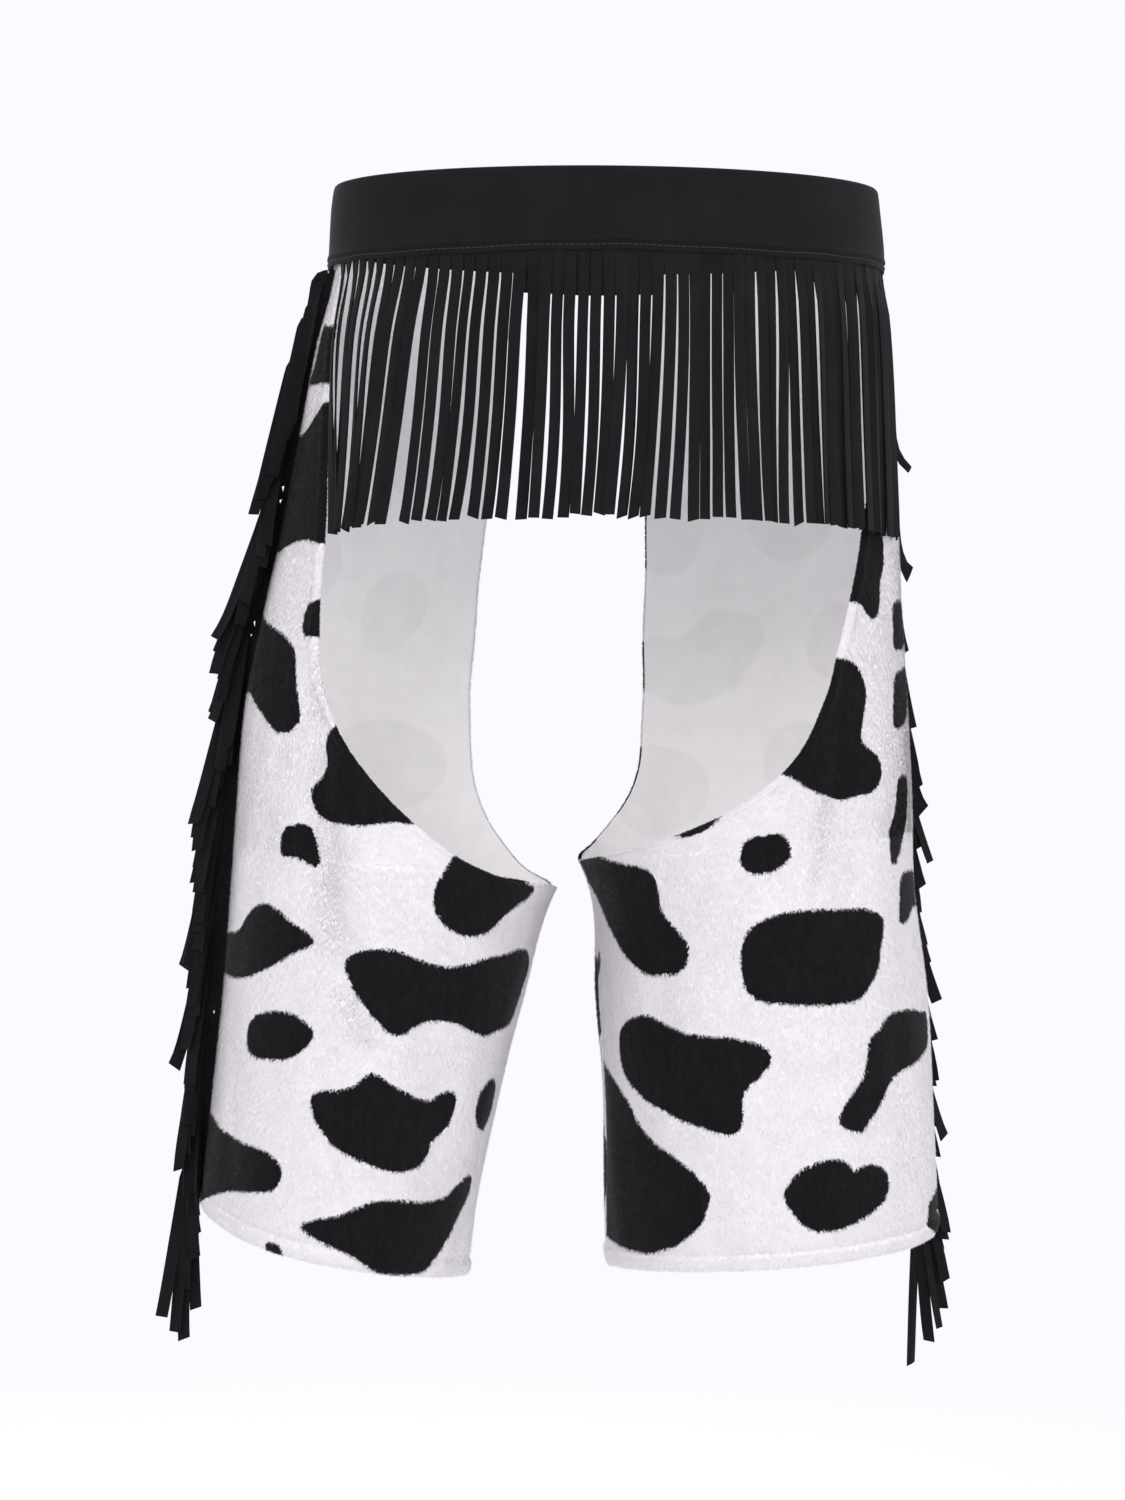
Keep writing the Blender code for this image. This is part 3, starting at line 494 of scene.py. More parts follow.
def on_line(line, across, height):
    """How near places are to a line on the panel, from 1 on it to 0, fading at its ends."""
    along = (line.top * MM - height) / ((line.top - line.bottom) * MM)
    middle = mix(line.top_across, line.bottom_across, along) * MM
    fade = smoothstep(np.minimum(along, 1.0 - along) * 5.0)
    return fade * bump(across - middle, line.half_width * MM)


PanelGrid = namedtuple("PanelGrid", "side back height angle across from_seam to_edge above_hem closed")


def panel_grid(side, back):
    """Heights and angles of a panel's points, with their distances from its seams, edge and hem."""
    seam, edge, edge_angle, bow = panel_rows(side, back)
    turn = 1.0 if back else -1.0
    slit = SUEDE_WALL / 2.0 + GAP
    start = seam_angle(side, seam)
    start = start + turn * slit / arc_per_degree(side, seam, start)
    closed = np.abs(edge_angle) > 179.9
    trim = np.where(closed, GAP / 2.0 / arc_per_degree(side, edge, edge_angle), 0.0)
    end = edge_angle - turn * trim
    even = np.linspace(0.0, 1.0, PANEL_COLUMNS + 1)
    columns = even - COLUMN_CROWDING * np.sin(2.0 * math.pi * even) / (2.0 * math.pi)
    share = columns + bow[:, None] * np.sin(math.pi * columns)
    height = mix(seam[:, None], edge[:, None], share)
    angle = mix(start[:, None], end[:, None], columns)
    points = leg_point(side, height, angle)
    across_steps = np.linalg.norm(np.diff(points, axis=1), axis=2)
    from_seam = np.concatenate([np.zeros((len(seam), 1)), np.cumsum(across_steps, axis=1)], axis=1)
    down_steps = np.linalg.norm(np.diff(points, axis=0), axis=2)
    above_hem = np.concatenate([np.cumsum(down_steps[::-1], axis=0)[::-1], np.zeros((1, len(columns)))], axis=0)
    steps = 24
    first = read_table(PATTERN_TURN[side], height)[..., 0]
    span = angle - first
    across = np.zeros(height.shape)
    for step in range(steps):
        across += arc_per_degree(side, height, first + span * (step + 0.5) / steps) * span / steps
    return PanelGrid(side, back, height, angle, across, from_seam, from_seam[:, -1:] - from_seam, above_hem,
                     closed[:, None])


def soft_form(grid):
    """How far creases and low waves move a panel outward."""
    sign = 1.0 if grid.back else -1.0
    across = grid.across * sign
    rise = np.zeros(across.shape)
    for crease in CREASES:
        if (crease.side, crease.back) == (grid.side, grid.back):
            rise -= crease.depth * MM * on_line(crease, across, grid.height)
            beside = crease._replace(top_across=crease.top_across + 2.2 * crease.half_width,
                                     bottom_across=crease.bottom_across + 2.2 * crease.half_width)
            rise += 0.5 * crease.depth * MM * on_line(beside, across, grid.height)
    free = smoothstep((BAND_BOTTOM - grid.height) / 0.04)
    for wave in WAVES:
        turn = 2.0 * math.pi * (grid.across / (wave.across * MM) + grid.height / (wave.down * MM))
        rise += free * wave.height * MM * np.sin(turn + wave.phase + grid.side)
    return rise


def sewn_form(grid):
    """How far seams, the hem and the rolled edge move a panel's outer face outward."""
    rise = -SEAM_DIP * bump(grid.from_seam, SEAM_DIP_WIDTH)
    at_edge = grid.to_edge
    rolled = (EDGE_PUFF * bump(at_edge - EDGE_PUFF_PLACE, EDGE_PUFF_WIDTH)
              - EDGE_ROLL * bump(at_edge, EDGE_ROLL_WIDTH))
    sewn = -SEAM_DIP * bump(at_edge, SEAM_DIP_WIDTH)
    rise = rise + np.where(grid.closed, sewn, rolled)
    up = grid.above_hem
    puff = HEM_PUFF * np.sqrt(np.clip(np.sin(math.pi * np.clip(up / HEM_FOLD, 0.0, 1.0)), 0.0, 1.0))
    groove = HEM_GROOVE * bump(up - HEM_FOLD - HEM_GROOVE_WIDTH, HEM_GROOVE_WIDTH)
    return rise + puff - groove - 0.5 * EDGE_ROLL * bump(up, EDGE_ROLL_WIDTH)


def add_mesh(name, points, faces, materials, smooth=True):
    """A named object from arrays of points and faces, all faces with the same number of corners."""
    mesh = bpy.data.meshes.new(name)
    faces = np.asarray(faces, dtype=np.int32)
    corners = faces.shape[1]
    mesh.vertices.add(len(points))
    mesh.vertices.foreach_set("co", np.asarray(points, dtype=np.float32).ravel())
    mesh.loops.add(faces.size)
    mesh.loops.foreach_set("vertex_index", faces.ravel())
    mesh.polygons.add(len(faces))
    mesh.polygons.foreach_set("loop_start", np.arange(len(faces), dtype=np.int32) * corners)
    mesh.update(calc_edges=True)
    mesh.validate()
    mesh.polygons.foreach_set("use_smooth", np.full(len(faces), smooth))
    for material in materials:
        mesh.materials.append(material)
    made = bpy.data.objects.new(name, mesh)
    bpy.context.scene.collection.objects.link(made)
    return made


def add_values(made, name, values):
    """A number for each point of a mesh, which its material can read."""
    layer = made.data.attributes.new(name, "FLOAT", "POINT")
    layer.data.foreach_set("value", np.asarray(values, dtype=np.float32).ravel())


def add_map(made, corners):
    """A UV map from one pair of values for each face corner."""
    layer = made.data.uv_layers.new(name="OFBake")
    layer.data.foreach_set("uv", np.asarray(corners, dtype=np.float32).ravel())


def grid_quads(rows, columns, first=0):
    """Faces of a grid of points, counted from a first one."""
    row, column = np.meshgrid(np.arange(rows - 1), np.arange(columns - 1), indexing="ij")
    corner = first + row * columns + column
    return np.stack([corner, corner + 1, corner + columns + 1, corner + columns], axis=-1).reshape(-1, 4)


def border(rows, columns, first):
    """Indices round the rim of a grid."""
    index = first + np.arange(rows * columns).reshape(rows, columns)
    return np.concatenate([index[0, :-1], index[:-1, -1], index[-1, :0:-1], index[:0:-1, 0]])


def tube_quads(tubes, rings, sides):
    """Faces round open tubes, with the tube, ring and side that each starts from."""
    tube, ring, side = np.meshgrid(np.arange(tubes), np.arange(rings - 1), np.arange(sides), indexing="ij")
    base = (tube * rings + ring) * sides
    here, other = base + side, base + (side + 1) % sides
    quads = np.stack([here, other, other + sides, here + sides], axis=-1).reshape(-1, 4)
    return quads, tube, ring, side


def make_panel(name, grid, outer, inner, black, material, lining):
    """A panel's cloth: a fine outer face, an inner face of half its fineness, and the rim between them."""
    rows, columns = outer.shape[:2]
    coarse = inner[::2, ::2]
    coarse_rows, coarse_columns = coarse.shape[:2]
    points = np.concatenate([outer.reshape(-1, 3), coarse.reshape(-1, 3)])
    first = rows * columns
    quads = grid_quads(rows, columns)
    back_quads = grid_quads(coarse_rows, coarse_columns, first)[:, ::-1]
    fine_rim = border(rows, columns, 0)
    coarse_rim = border(coarse_rows, coarse_columns, first)
    after = np.roll(coarse_rim, -1)
    one, two, three = fine_rim[0::2], fine_rim[1::2], np.roll(fine_rim[0::2], -1)
    rim = np.concatenate([np.stack([two, one, coarse_rim], axis=1), np.stack([two, coarse_rim, after], axis=1),
                          np.stack([three, two, after], axis=1)])
    triangles = np.concatenate([quads[:, [0, 1, 2]], quads[:, [0, 2, 3]], back_quads[:, [0, 1, 2]],
                                back_quads[:, [0, 2, 3]], rim])
    if grid.side * (1.0 if grid.back else -1.0) > 0:
        triangles = triangles[:, ::-1]
    made = add_mesh(name, points, triangles, [material, lining])
    inside = np.zeros(len(triangles), dtype=np.int32)
    inside[2 * len(quads):2 * len(quads) + 2 * len(back_quads)] = 1
    made.data.polygons.foreach_set("material_index", inside)
    u, v = np.meshgrid(np.linspace(0.01, 0.48, columns), np.linspace(0.99, 0.01, rows))
    u_in, v_in = u[::2, ::2] + 0.51, v[::2, ::2]
    place = np.stack([np.concatenate([u.ravel(), u_in.ravel()]),
                      np.concatenate([v.ravel(), v_in.ravel()])], axis=1)
    corners = place[triangles]
    rim_faces = corners[-len(rim):]
    outer_corner = (triangles[-len(rim):] < first)[..., None]
    shifted = np.where(outer_corner, rim_faces, rim_faces - [0.51, 0.0])
    nudge = np.where(outer_corner, 0.0, 0.004)
    corners[-len(rim):] = np.clip(shifted + nudge, 0.0, 1.0)
    add_map(made, corners)
    add_values(made, "patch", np.concatenate([black.ravel(), black[::2, ::2].ravel()]))
    add_values(made, "shade", np.full(len(points), 0.97))
    return made


def unit(vectors):
    """Vectors of length 1."""
    return vectors / np.maximum(np.linalg.norm(vectors, axis=-1, keepdims=True), 1e-12)


def at_places(values, row, column):
    """Values of a grid between its points."""
    r = np.clip(row.astype(int), 0, values.shape[0] - 2)
    c = np.clip(column.astype(int), 0, values.shape[1] - 2)
    dr, dc = row - r, column - c
    if values.ndim == 3:
        dr, dc = dr[:, None], dc[:, None]
    top = mix(values[r, c], values[r, c + 1], dc)
    below = mix(values[r + 1, c], values[r + 1, c + 1], dc)
    return mix(top, below, dr)


# The pile
PILE_SPACING_BACK = 0.00088
PILE_SPACING_FRONT = 0.00098
PILE_LENGTH = 0.0024
PILE_WIDTH = 0.00085
PILE_LIFT = 20.0              # degrees off the cloth
PILE_LIFT_SPREAD = 6.0
PILE_TURN_SPREAD = 16.0       # degrees, to either side of the nap
EDGE_TUFT_SPACING = 0.00045
EDGE_TUFT_ROWS = 3


def pile_roots(points, spacing, chance):
    """Row and column of each tuft, spread over a panel evenly by its area."""
    rows, columns = points.shape[:2]
    over = points[:-1, 1:] - points[:-1, :-1]
    down = points[1:, :-1] - points[:-1, :-1]
    area = np.linalg.norm(np.cross(over, down), axis=-1)
    wanted = area / spacing ** 2
    count = np.floor(wanted + chance.random(area.shape)).astype(int).ravel()
    cell = np.repeat(np.arange(count.size), count)
    first = np.concatenate([[0], np.cumsum(count)[:-1]])
    step = np.arange(len(cell)) - first[cell]
    place = (step + chance.random(len(cell))) / count[cell]
    row = cell // (columns - 1) + chance.random(len(cell))
    return np.minimum(row, rows - 1.001), np.minimum(cell % (columns - 1) + place, columns - 1.001)


def rib_wave(across, height):
    """Wave across the ribs of parted pile."""
    return np.sin(2.0 * math.pi * (height / MM + RIB_SLANT * across / MM) / RIB_PITCH / math.hypot(1.0, RIB_SLANT))


def make_pile(name, grid, outer, black, material, seed):
    """Short tufts that lie down the cloth, joined into one mesh of triangles."""
    chance = np.random.default_rng(seed)
    spacing = PILE_SPACING_BACK if grid.back else PILE_SPACING_FRONT
    row, column = pile_roots(outer, spacing, chance)
    down = unit(np.gradient(outer, axis=0))
    over = unit(np.gradient(outer, axis=1))
    normal = unit(np.cross(over, down)) * (-grid.side if grid.back else grid.side)
    rows, columns = outer.shape[:2]
    rim_row, rim_column, rim_away = [], [], []
    hem_run = grid.from_seam[-1]
    count = int(hem_run[-1] / EDGE_TUFT_SPACING) * EDGE_TUFT_ROWS
    rim_column.append(np.interp(chance.random(count) * hem_run[-1], hem_run, np.arange(columns)))
    rim_row.append(np.full(count, rows - 1.001))
    rim_away.append(np.tile([1.0, 0.0], (count, 1)))
    edge_rows = int((~grid.closed[:, 0]).sum())
    edge_line = outer[:edge_rows, -1]
    edge_run = run_along(edge_line)
    count = int(edge_run[-1] / EDGE_TUFT_SPACING) * EDGE_TUFT_ROWS
    rim_row.append(np.interp(chance.random(count) * edge_run[-1], edge_run, np.arange(edge_rows)))
    rim_column.append(np.full(count, columns - 1.001))
    rim_away.append(np.tile([0.25, 0.75], (count, 1)))
    rim_count = sum(len(part) for part in rim_row)
    plain = np.tile([1.0, 0.0], (len(row), 1))
    row = np.concatenate([row, *rim_row])
    column = np.concatenate([column, *rim_column])
    away = np.concatenate([plain, *rim_away])
    total = len(row)
    at_rim = np.arange(total) >= total - rim_count
    root = at_places(outer, row, column)
    out = unit(at_places(normal, row, column))
    nap = unit(at_places(down, row, column) * away[:, :1] + at_places(over, row, column) * away[:, 1:])
    across = at_places(grid.across, row, column)
    height = at_places(grid.height, row, column)
    ribbed = np.zeros(total)
    for ribbing in RIBBINGS:
        if (ribbing.side, ribbing.back) == (grid.side, grid.back):
            near = on_line(ribbing, across * (1.0 if grid.back else -1.0), height)
            ribbed = np.maximum(ribbed, ribbing.strength * near)
    wave = rib_wave(across, height)
    sideways = unit(np.cross(out, nap))
    turn = np.radians(chance.normal(0.0, PILE_TURN_SPREAD, total))
    lift = np.radians(np.clip(chance.normal(PILE_LIFT, PILE_LIFT_SPREAD, total), 4.0, 60.0))
    lift = np.where(at_rim, np.radians(chance.uniform(-35.0, 30.0, total)), lift)
    flat = nap * np.cos(turn)[:, None] + sideways * np.sin(turn)[:, None]
    pointing = flat * np.cos(lift)[:, None] + out * np.sin(lift)[:, None]
    length = PILE_LENGTH * chance.uniform(0.75, 1.15, total) * (1.0 - 0.35 * ribbed * (wave < 0.0))
    length = np.where(at_rim, 0.62 * length, length)
    width = PILE_WIDTH * chance.uniform(0.8, 1.2, total)
    half = unit(np.cross(out, pointing)) * (width / 2.0)[:, None]
    root = root + out * (0.00035 * ribbed * wave)[:, None]
    tip = root + pointing * length[:, None]
    points = np.stack([root + half, root - half, tip], axis=1).reshape(-1, 3)
    faces = np.arange(3 * total).reshape(-1, 3)
    made = add_mesh(name, points, faces, [material])
    turned = unit(out + 0.12 * flat + 0.09 * chance.normal(0.0, 1.0, (total, 3)))
    made.data.normals_split_custom_set_from_vertices(np.repeat(turned, 3, axis=0))
    rim_u = np.clip((column / (columns - 1))[:, None] + np.array([-0.0006, 0.0006, 0.0]), 0.0, 1.0)
    rim_v = np.clip(1.0 - (row / (rows - 1))[:, None] + np.array([0.0, 0.0, -0.0012]), 0.0, 1.0)
    add_map(made, np.stack([rim_u, rim_v], axis=-1))
    shown = at_places(black, row, column) + chance.normal(0.0, 0.18, total)
    add_values(made, "patch", np.repeat(shown, 3))
    # Painted shadow in the grooves between the ribs and painted shade over the parted pile, along folds and the
    # outseam
    groove = (1.0 - RIB_SHADOW * ribbed * np.clip(-wave, 0.0, 1.0)) * (1.0 - RIB_PAINTED_SHADE * ribbed)
    tone = np.clip(chance.normal(0.985, 0.018, total), 0.9, 1.03) * groove
    # Painted shade: each tuft is darker at its root than at its tip, on top of a random tone
    shade = np.stack([tone * 0.93, tone * 0.93, tone], axis=1)
    add_values(made, "shade", shade)
    return made


# Fringes
WAIST_STRANDS = 58
WAIST_TOP_FIRST_ANGLE = 15.0
WAIST_TOP_LAST_ANGLE = 170.0
WAIST_FRINGE_TIP = -0.178
WAIST_FRINGE_SIDE_DROP = 0.011
WAIST_STRAND_WIDTH = 0.0063
WAIST_STRAND_STAGGER = 0.0012
WAIST_CROWDING = 0.20         # how much closer the strands hang at the wearer's right end
HIP_JOIN_FROM = 60.0
HIP_JOIN_TO = 120.0
SIDE_STRAND_PITCH = 0.0080
SIDE_STRAND_WIDTH = 0.0067
SIDE_STRAND_WALL = 0.0009
SIDE_STRIP_DEPTH = 0.005
SIDE_STRIP_REACH = 0.0024
SIDE_STRIP_UNCUT = 0.0064     # how far out the strip is left whole between the strands
SIDE_BEND_RUN = 0.013         # a strand turns from the seam to its hang over this length
SIDE_FRINGE_LENGTH = {LEFT: 0.094, RIGHT: 0.098}
STRAND_RINGS = 18
STRAND_CUP = 0.0005

# How far the tips of the back fringe hang from straight down, in mm to the wearer's left
StrandDrift = namedtuple("StrandDrift", "strand drift")
WAIST_DRIFTS = rows_of(StrandDrift, [
    (0, 5.0), (1, 8.0), (2, 11.0), (3, 14.0), (4, 15.0), (5, 17.0), (6, 18.5), (7, 21.5),
    (9, 22.5), (10, 16.4), (12, 15.2), (14, 16.0), (15, 12.6), (16, 12.6), (17, 11.2), (18, 7.8),
    (20, 7.4), (21, 5.4), (22, 6.6), (24, 6.9), (25, 8.9), (28, 9.4), (29, 7.7), (30, 6.6),
    (31, 2.9), (33, 2.6), (34, 0.0), (35, -1.4), (37, -2.3), (38, 1.1), (39, 1.4), (40, -3.1),
    (57, -1.5),
])

# How the side fringes hang: outward lean, and turn of the whole strand towards the front
StrandHang = namedtuple("StrandHang", "height lean turn")
STRAND_HANG = {
    LEFT: rows_of(StrandHang, [
        (-0.013, 14.0, 0.0), (-0.060, 14.0, 0.0), (-0.130, 12.5, 0.0), (-0.150, 16.5, 0.0),
        (-0.172, 19.0, 0.0), (-0.190, 18.5, 0.0), (-0.214, 12.5, 0.0), (-0.250, 11.5, 0.0),
        (-0.300, 12.5, 0.0), (-0.353, 10.5, 0.0), (-0.430, 10.5, 0.0), (-0.470, 8.0, 0.0),
        (-0.490, 5.0, 0.0), (-0.640, 4.5, 0.0),
    ]),
    RIGHT: rows_of(StrandHang, [
        (-0.013, 1.0, 62.0), (-0.110, 1.5, 58.0), (-0.150, 2.5, 46.0), (-0.185, 4.5, 34.0),
        (-0.205, 8.5, 26.0), (-0.235, 12.5, 17.0), (-0.270, 12.0, 10.0), (-0.300, 14.0, 5.0),
        (-0.353, 10.5, 0.0), (-0.390, 13.5, 0.0), (-0.430, 12.5, 0.0), (-0.500, 10.5, 0.0),
        (-0.530, 12.5, 0.0), (-0.640, 13.0, 0.0),
    ]),
}

# Strands that stand out and form the steps of the outline: more lean, curl of the tip, share of the turn
BoldStrand = namedtuple("BoldStrand", "strand lean curl turned")
BOLD_STRANDS = {
    LEFT: rows_of(BoldStrand, [
        (7, 3.0, 6.0, 1.0), (17, 2.0, 10.0, 1.0), (19, 2.0, -4.0, 1.0), (23, 3.0, 4.0, 1.0),
        (30, 3.5, 8.0, 1.0), (32, 2.5, -6.0, 1.0), (41, 3.5, 5.0, 1.0), (48, 3.5, 6.0, 1.0),
        (55, 3.0, 4.0, 1.0),
    ]),
    RIGHT: rows_of(BoldStrand, [
        (3, 3.0, 52.0, 0.25), (11, 5.0, 34.0, 0.3), (16, 2.0, 14.0, 0.3), (22, 2.0, 10.0, 0.5),
        (29, 2.0, 4.0, 1.0), (33, 2.0, 4.0, 1.0), (43, 2.0, 3.0, 1.0), (54, 2.5, 3.0, 1.0),
        (60, 2.0, 2.0, 1.0),
    ]),
}
BOLD_SHADOW = {LEFT: 1.8, RIGHT: 0.6}     # how much less the others lean
LAST_LEANS = {LEFT: [4.0, 3.0, -2.0, 10.0, 5.0, 1.5], RIGHT: [12.5, 10.5, 7.0, 3.0, -2.5]}
LAST_EXTRA = {LEFT: [0.0, 0.0, 5.0, 0.0, 0.0, 0.0], RIGHT: [5.0, 8.0, 11.0, 13.0, 17.0]}      # mm longer
STACK_LEAN = {LEFT: 8.0, RIGHT: 6.0}      # towards the back, so that each strand lies on the next one down


def hip_point(around, height, lift):
    """A point over the hips, lifted off them; the angle runs from the left side (0) over the back."""
    left = read_table(SECTIONS[LEFT], height)
    right = read_table(SECTIONS[RIGHT], height)
    right[..., 0] *= -1.0
    share = smoothstep((around - HIP_JOIN_FROM) / (HIP_JOIN_TO - HIP_JOIN_FROM))[..., None]
    centre_x, centre_y, half_width, half_depth = np.moveaxis(mix(left, right, share), -1, 0)
    turn = np.radians(around)
    return np.stack([centre_x + (half_width + lift) * np.cos(turn),
                     centre_y + (half_depth + lift) * np.sin(turn),
                     np.broadcast_to(height, around.shape)], axis=-1)


def evenly_along(start, end, count, height):
    """Angles between two others that lie evenly spaced along the hips at a height."""
    fine = np.linspace(start, end, 8 * count)
    points = hip_point(fine, np.full(fine.shape, height), np.zeros(fine.shape))
    travelled = run_along(points)
    return np.interp(np.linspace(0.0, travelled[-1], count), travelled, fine)


def strand_loops(middle, wide, wall, half_width, thickness, cup):
    """Six points round each ring of each strand, whose section is a flat strip with a little cup."""
    half = wide * half_width[..., None]
    thick = wall * (thickness / 2.0)
    bulge = wall * cup
    loops = [middle + half + thick, middle + thick + bulge, middle - half + thick,
             middle - half - thick, middle - thick + bulge, middle + half - thick]
    return np.stack(loops, axis=2)


def make_strands(name, loops, strip, material):
    """A fringe: strands from loops [strand][ring][6], and the uncut strip [row][column] that carries them."""
    strands, rings, sides = loops.shape[:3]
    points = loops.reshape(-1, 3)
    quads, strand, ring, side = tube_quads(strands, rings, sides)
    first = (np.arange(strands) * rings * sides)[:, None]
    last = first + (rings - 1) * sides
    ends = np.concatenate([last + [0, 1, 4, 5], last + [1, 2, 3, 4], first + [5, 4, 1, 0], first + [4, 3, 2, 1]])
    rows, columns = strip.shape[:2]
    strip_quads = grid_quads(rows, columns, len(points))
    faces = np.concatenate([quads, ends, strip_quads])
    made = add_mesh(name, np.concatenate([points, strip.reshape(-1, 3)]), faces, [material])
    made.data.set_sharp_from_angle(angle=math.radians(50.0))
    width = 0.95 / strands
    u = (strand + (side + np.array([[[[0.0]]], [[[1.0]]], [[[1.0]]], [[[0.0]]]])) / sides * 0.9) * width
    v = 0.08 + 0.9 * (ring + np.array([[[[0.0]]], [[[0.0]]], [[[1.0]]], [[[1.0]]]])) / (rings - 1)
    side_map = np.stack([u, v], axis=-1).transpose(1, 2, 3, 0, 4).reshape(-1, 4, 2)
    end_map = np.tile([[0.96, 0.01], [0.98, 0.01], [0.98, 0.03], [0.96, 0.03]], (len(ends), 1, 1))
    su, sv = np.meshgrid(np.linspace(0.0, 0.95, columns), np.linspace(0.01, 0.06, rows))
    strip_place = np.stack([su.ravel(), sv.ravel()], axis=1)
    strip_map = strip_place[strip_quads - len(points)]
    add_map(made, np.concatenate([side_map, end_map, strip_map]))
    along = np.broadcast_to(np.linspace(0.0, 1.0, rings)[None, :, None], (strands, rings, sides))
    add_values(made, "along", np.concatenate([along.ravel(), np.zeros(rows * columns)]))
    tone = np.random.default_rng(31).uniform(0.0, 1.0, strands)
    tone = np.broadcast_to(tone[:, None, None], (strands, rings, sides))
    add_values(made, "tone", np.concatenate([tone.ravel(), np.full(rows * columns, 0.5)]))
    return made


def correlated(chance, count, spread, reach):
    """Random values whose neighbours are alike over a reach."""
    raw = chance.normal(0.0, 1.0, count + 6 * reach)
    window = np.exp(-(np.arange(-3 * reach, 3 * reach + 1) / reach) ** 2)
    smooth = np.convolve(raw, window / np.sqrt((window ** 2).sum()), mode="same")
    return spread * smooth[3 * reach:3 * reach + count]


def make_waist_fringe(material):
    """Strands across the back, on a strip that the waistband covers."""
    chance = np.random.default_rng(7)
    count = WAIST_STRANDS
    index = np.arange(count)
    strip_top = BAND_STEP - GAP
    strip_bottom = BAND_BOTTOM + 0.001
    first, last = WAIST_TOP_FIRST_ANGLE, WAIST_TOP_LAST_ANGLE
    even = index / (count - 1.0)
    packed = (even + WAIST_CROWDING / 2.0 * (even - even ** 3)) * (count - 1.0)
    top = np.interp(packed, index, evenly_along(first, last, count, strip_bottom))
    start = hip_point(top, np.full(count, strip_bottom), 0.0 * top)
    fine = np.linspace(5.0, 175.0, 400)
    reach = hip_point(fine, np.full(fine.shape, WAIST_FRINGE_TIP), 0.0 * fine)[:, 0]
    table = np.array(WAIST_DRIFTS)
    drift = np.interp(index, table[:, 0], table[:, 1]) * MM + chance.normal(0.0, 0.0003, count)
    tip = np.interp(-(start[:, 0] + drift), -reach, fine)
    share = np.linspace(0.0, 1.0, STRAND_RINGS)[None, :]
    gathered = smoothstep((7.5 - index) / 4.0)[:, None]
    dense = smoothstep((index - 39.5) / 3.0)[:, None]
    sway = correlated(chance, count, 0.22, 2)[:, None] + chance.normal(0.0, 0.13, (count, 1))
    sway = sway * np.sin(math.pi * share ** 0.8)
    sway = sway + chance.normal(0.0, 0.09, (count, 1)) * np.sin(2.0 * math.pi * share)
    around = mix(top[:, None], tip[:, None], share) + sway
    drop = WAIST_FRINGE_SIDE_DROP * (1.0 - np.sin(np.radians(tip[:, None]))) ** 0.8
    uneven = correlated(chance, count, 0.0008, 2)[:, None] + chance.normal(0.0, 0.0006, (count, 1))
    height = mix(strip_bottom + 0.0008, WAIST_FRINGE_TIP - drop + uneven, share)
    layer = np.where(index % 2, 1.0, 0.0)[:, None] + dense * (index % 3)[:, None] * 0.8
    loose = smoothstep(share * 5.0)
    lift = GAP + SUEDE_WALL / 2.0 + WAIST_STRAND_STAGGER * layer * loose
    lift = lift + (0.0005 + 0.0018 * chance.random((count, 1))) * share ** 2
    lift = lift + 0.0010 * np.sin(math.pi * share) * chance.random((count, 1))
    middle = hip_point(around, height, lift)
    beside = hip_point(around + 0.4, height, lift)
    wide = unit(beside - middle)
    wall = unit(np.cross(wide, [0.0, 0.0, 1.0]))
    wall = wall * np.sign((wall * (middle * [1.0, 1.0, 0.0])).sum(axis=-1, keepdims=True))
    twist = chance.normal(0.0, 7.0, (count, 1)) * share
    twist = twist + chance.normal(0.0, 6.0, (count, 1)) * np.sin(math.pi * share)
    twist = twist + gathered * (34.0 + 20.0 * np.sin(index * 1.7))[:, None] * np.sin(math.pi * share ** 0.7) ** 0.7
    twist = twist + dense * (26.0 * np.sin(index * 2.3))[:, None] * loose
    turn = np.radians(twist)[..., None]
    turned = wide * np.cos(turn) + wall * np.sin(turn)
    faced = wall * np.cos(turn) - wide * np.sin(turn)
    half_width = WAIST_STRAND_WIDTH / 2.0 * (1.0 + chance.normal(0.0, 0.05, (count, 1)) + 0.14 * dense)
    half_width = half_width * np.ones_like(share)
    cup = STRAND_CUP * chance.normal(0.2, 0.8, (count, 1, 1)) * np.ones((1, STRAND_RINGS, 1))
    loops = strand_loops(middle, turned, faced, half_width, SUEDE_WALL, cup)
    slant = chance.normal(0.0, 0.0006, count)
    loops[:, -1, :, 2] += slant[:, None] * np.array([1.0, 0.0, -1.0, -1.0, 0.0, 1.0])
    around_strip = np.radians(np.linspace(first - 1.3, last + 1.3, 140))
    strip = []
    for level in (strip_top, strip_bottom):
        half_w, half_d = band_radii(level, HEADER_OUTER)
        strip.append(np.stack([half_w * np.cos(around_strip), half_d * np.sin(around_strip),
                               np.full(around_strip.shape, level)], axis=-1))
    made = make_strands("back_fringe", loops, np.array(strip), material)
    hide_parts("waist_fringe")
    return made


def seam_frame(side, height):
    """Place on an outseam, with the directions out of the cloth and along it towards the back."""
    angle = seam_angle(side, height)
    place = leg_point(side, height, angle)
    out = unit(place - leg_point(side, height, angle, CLOTH_WALL))
    along = np.stack([-out[..., 1], out[..., 0], 0.0 * out[..., 0]], axis=-1) * side
    return place, out, along


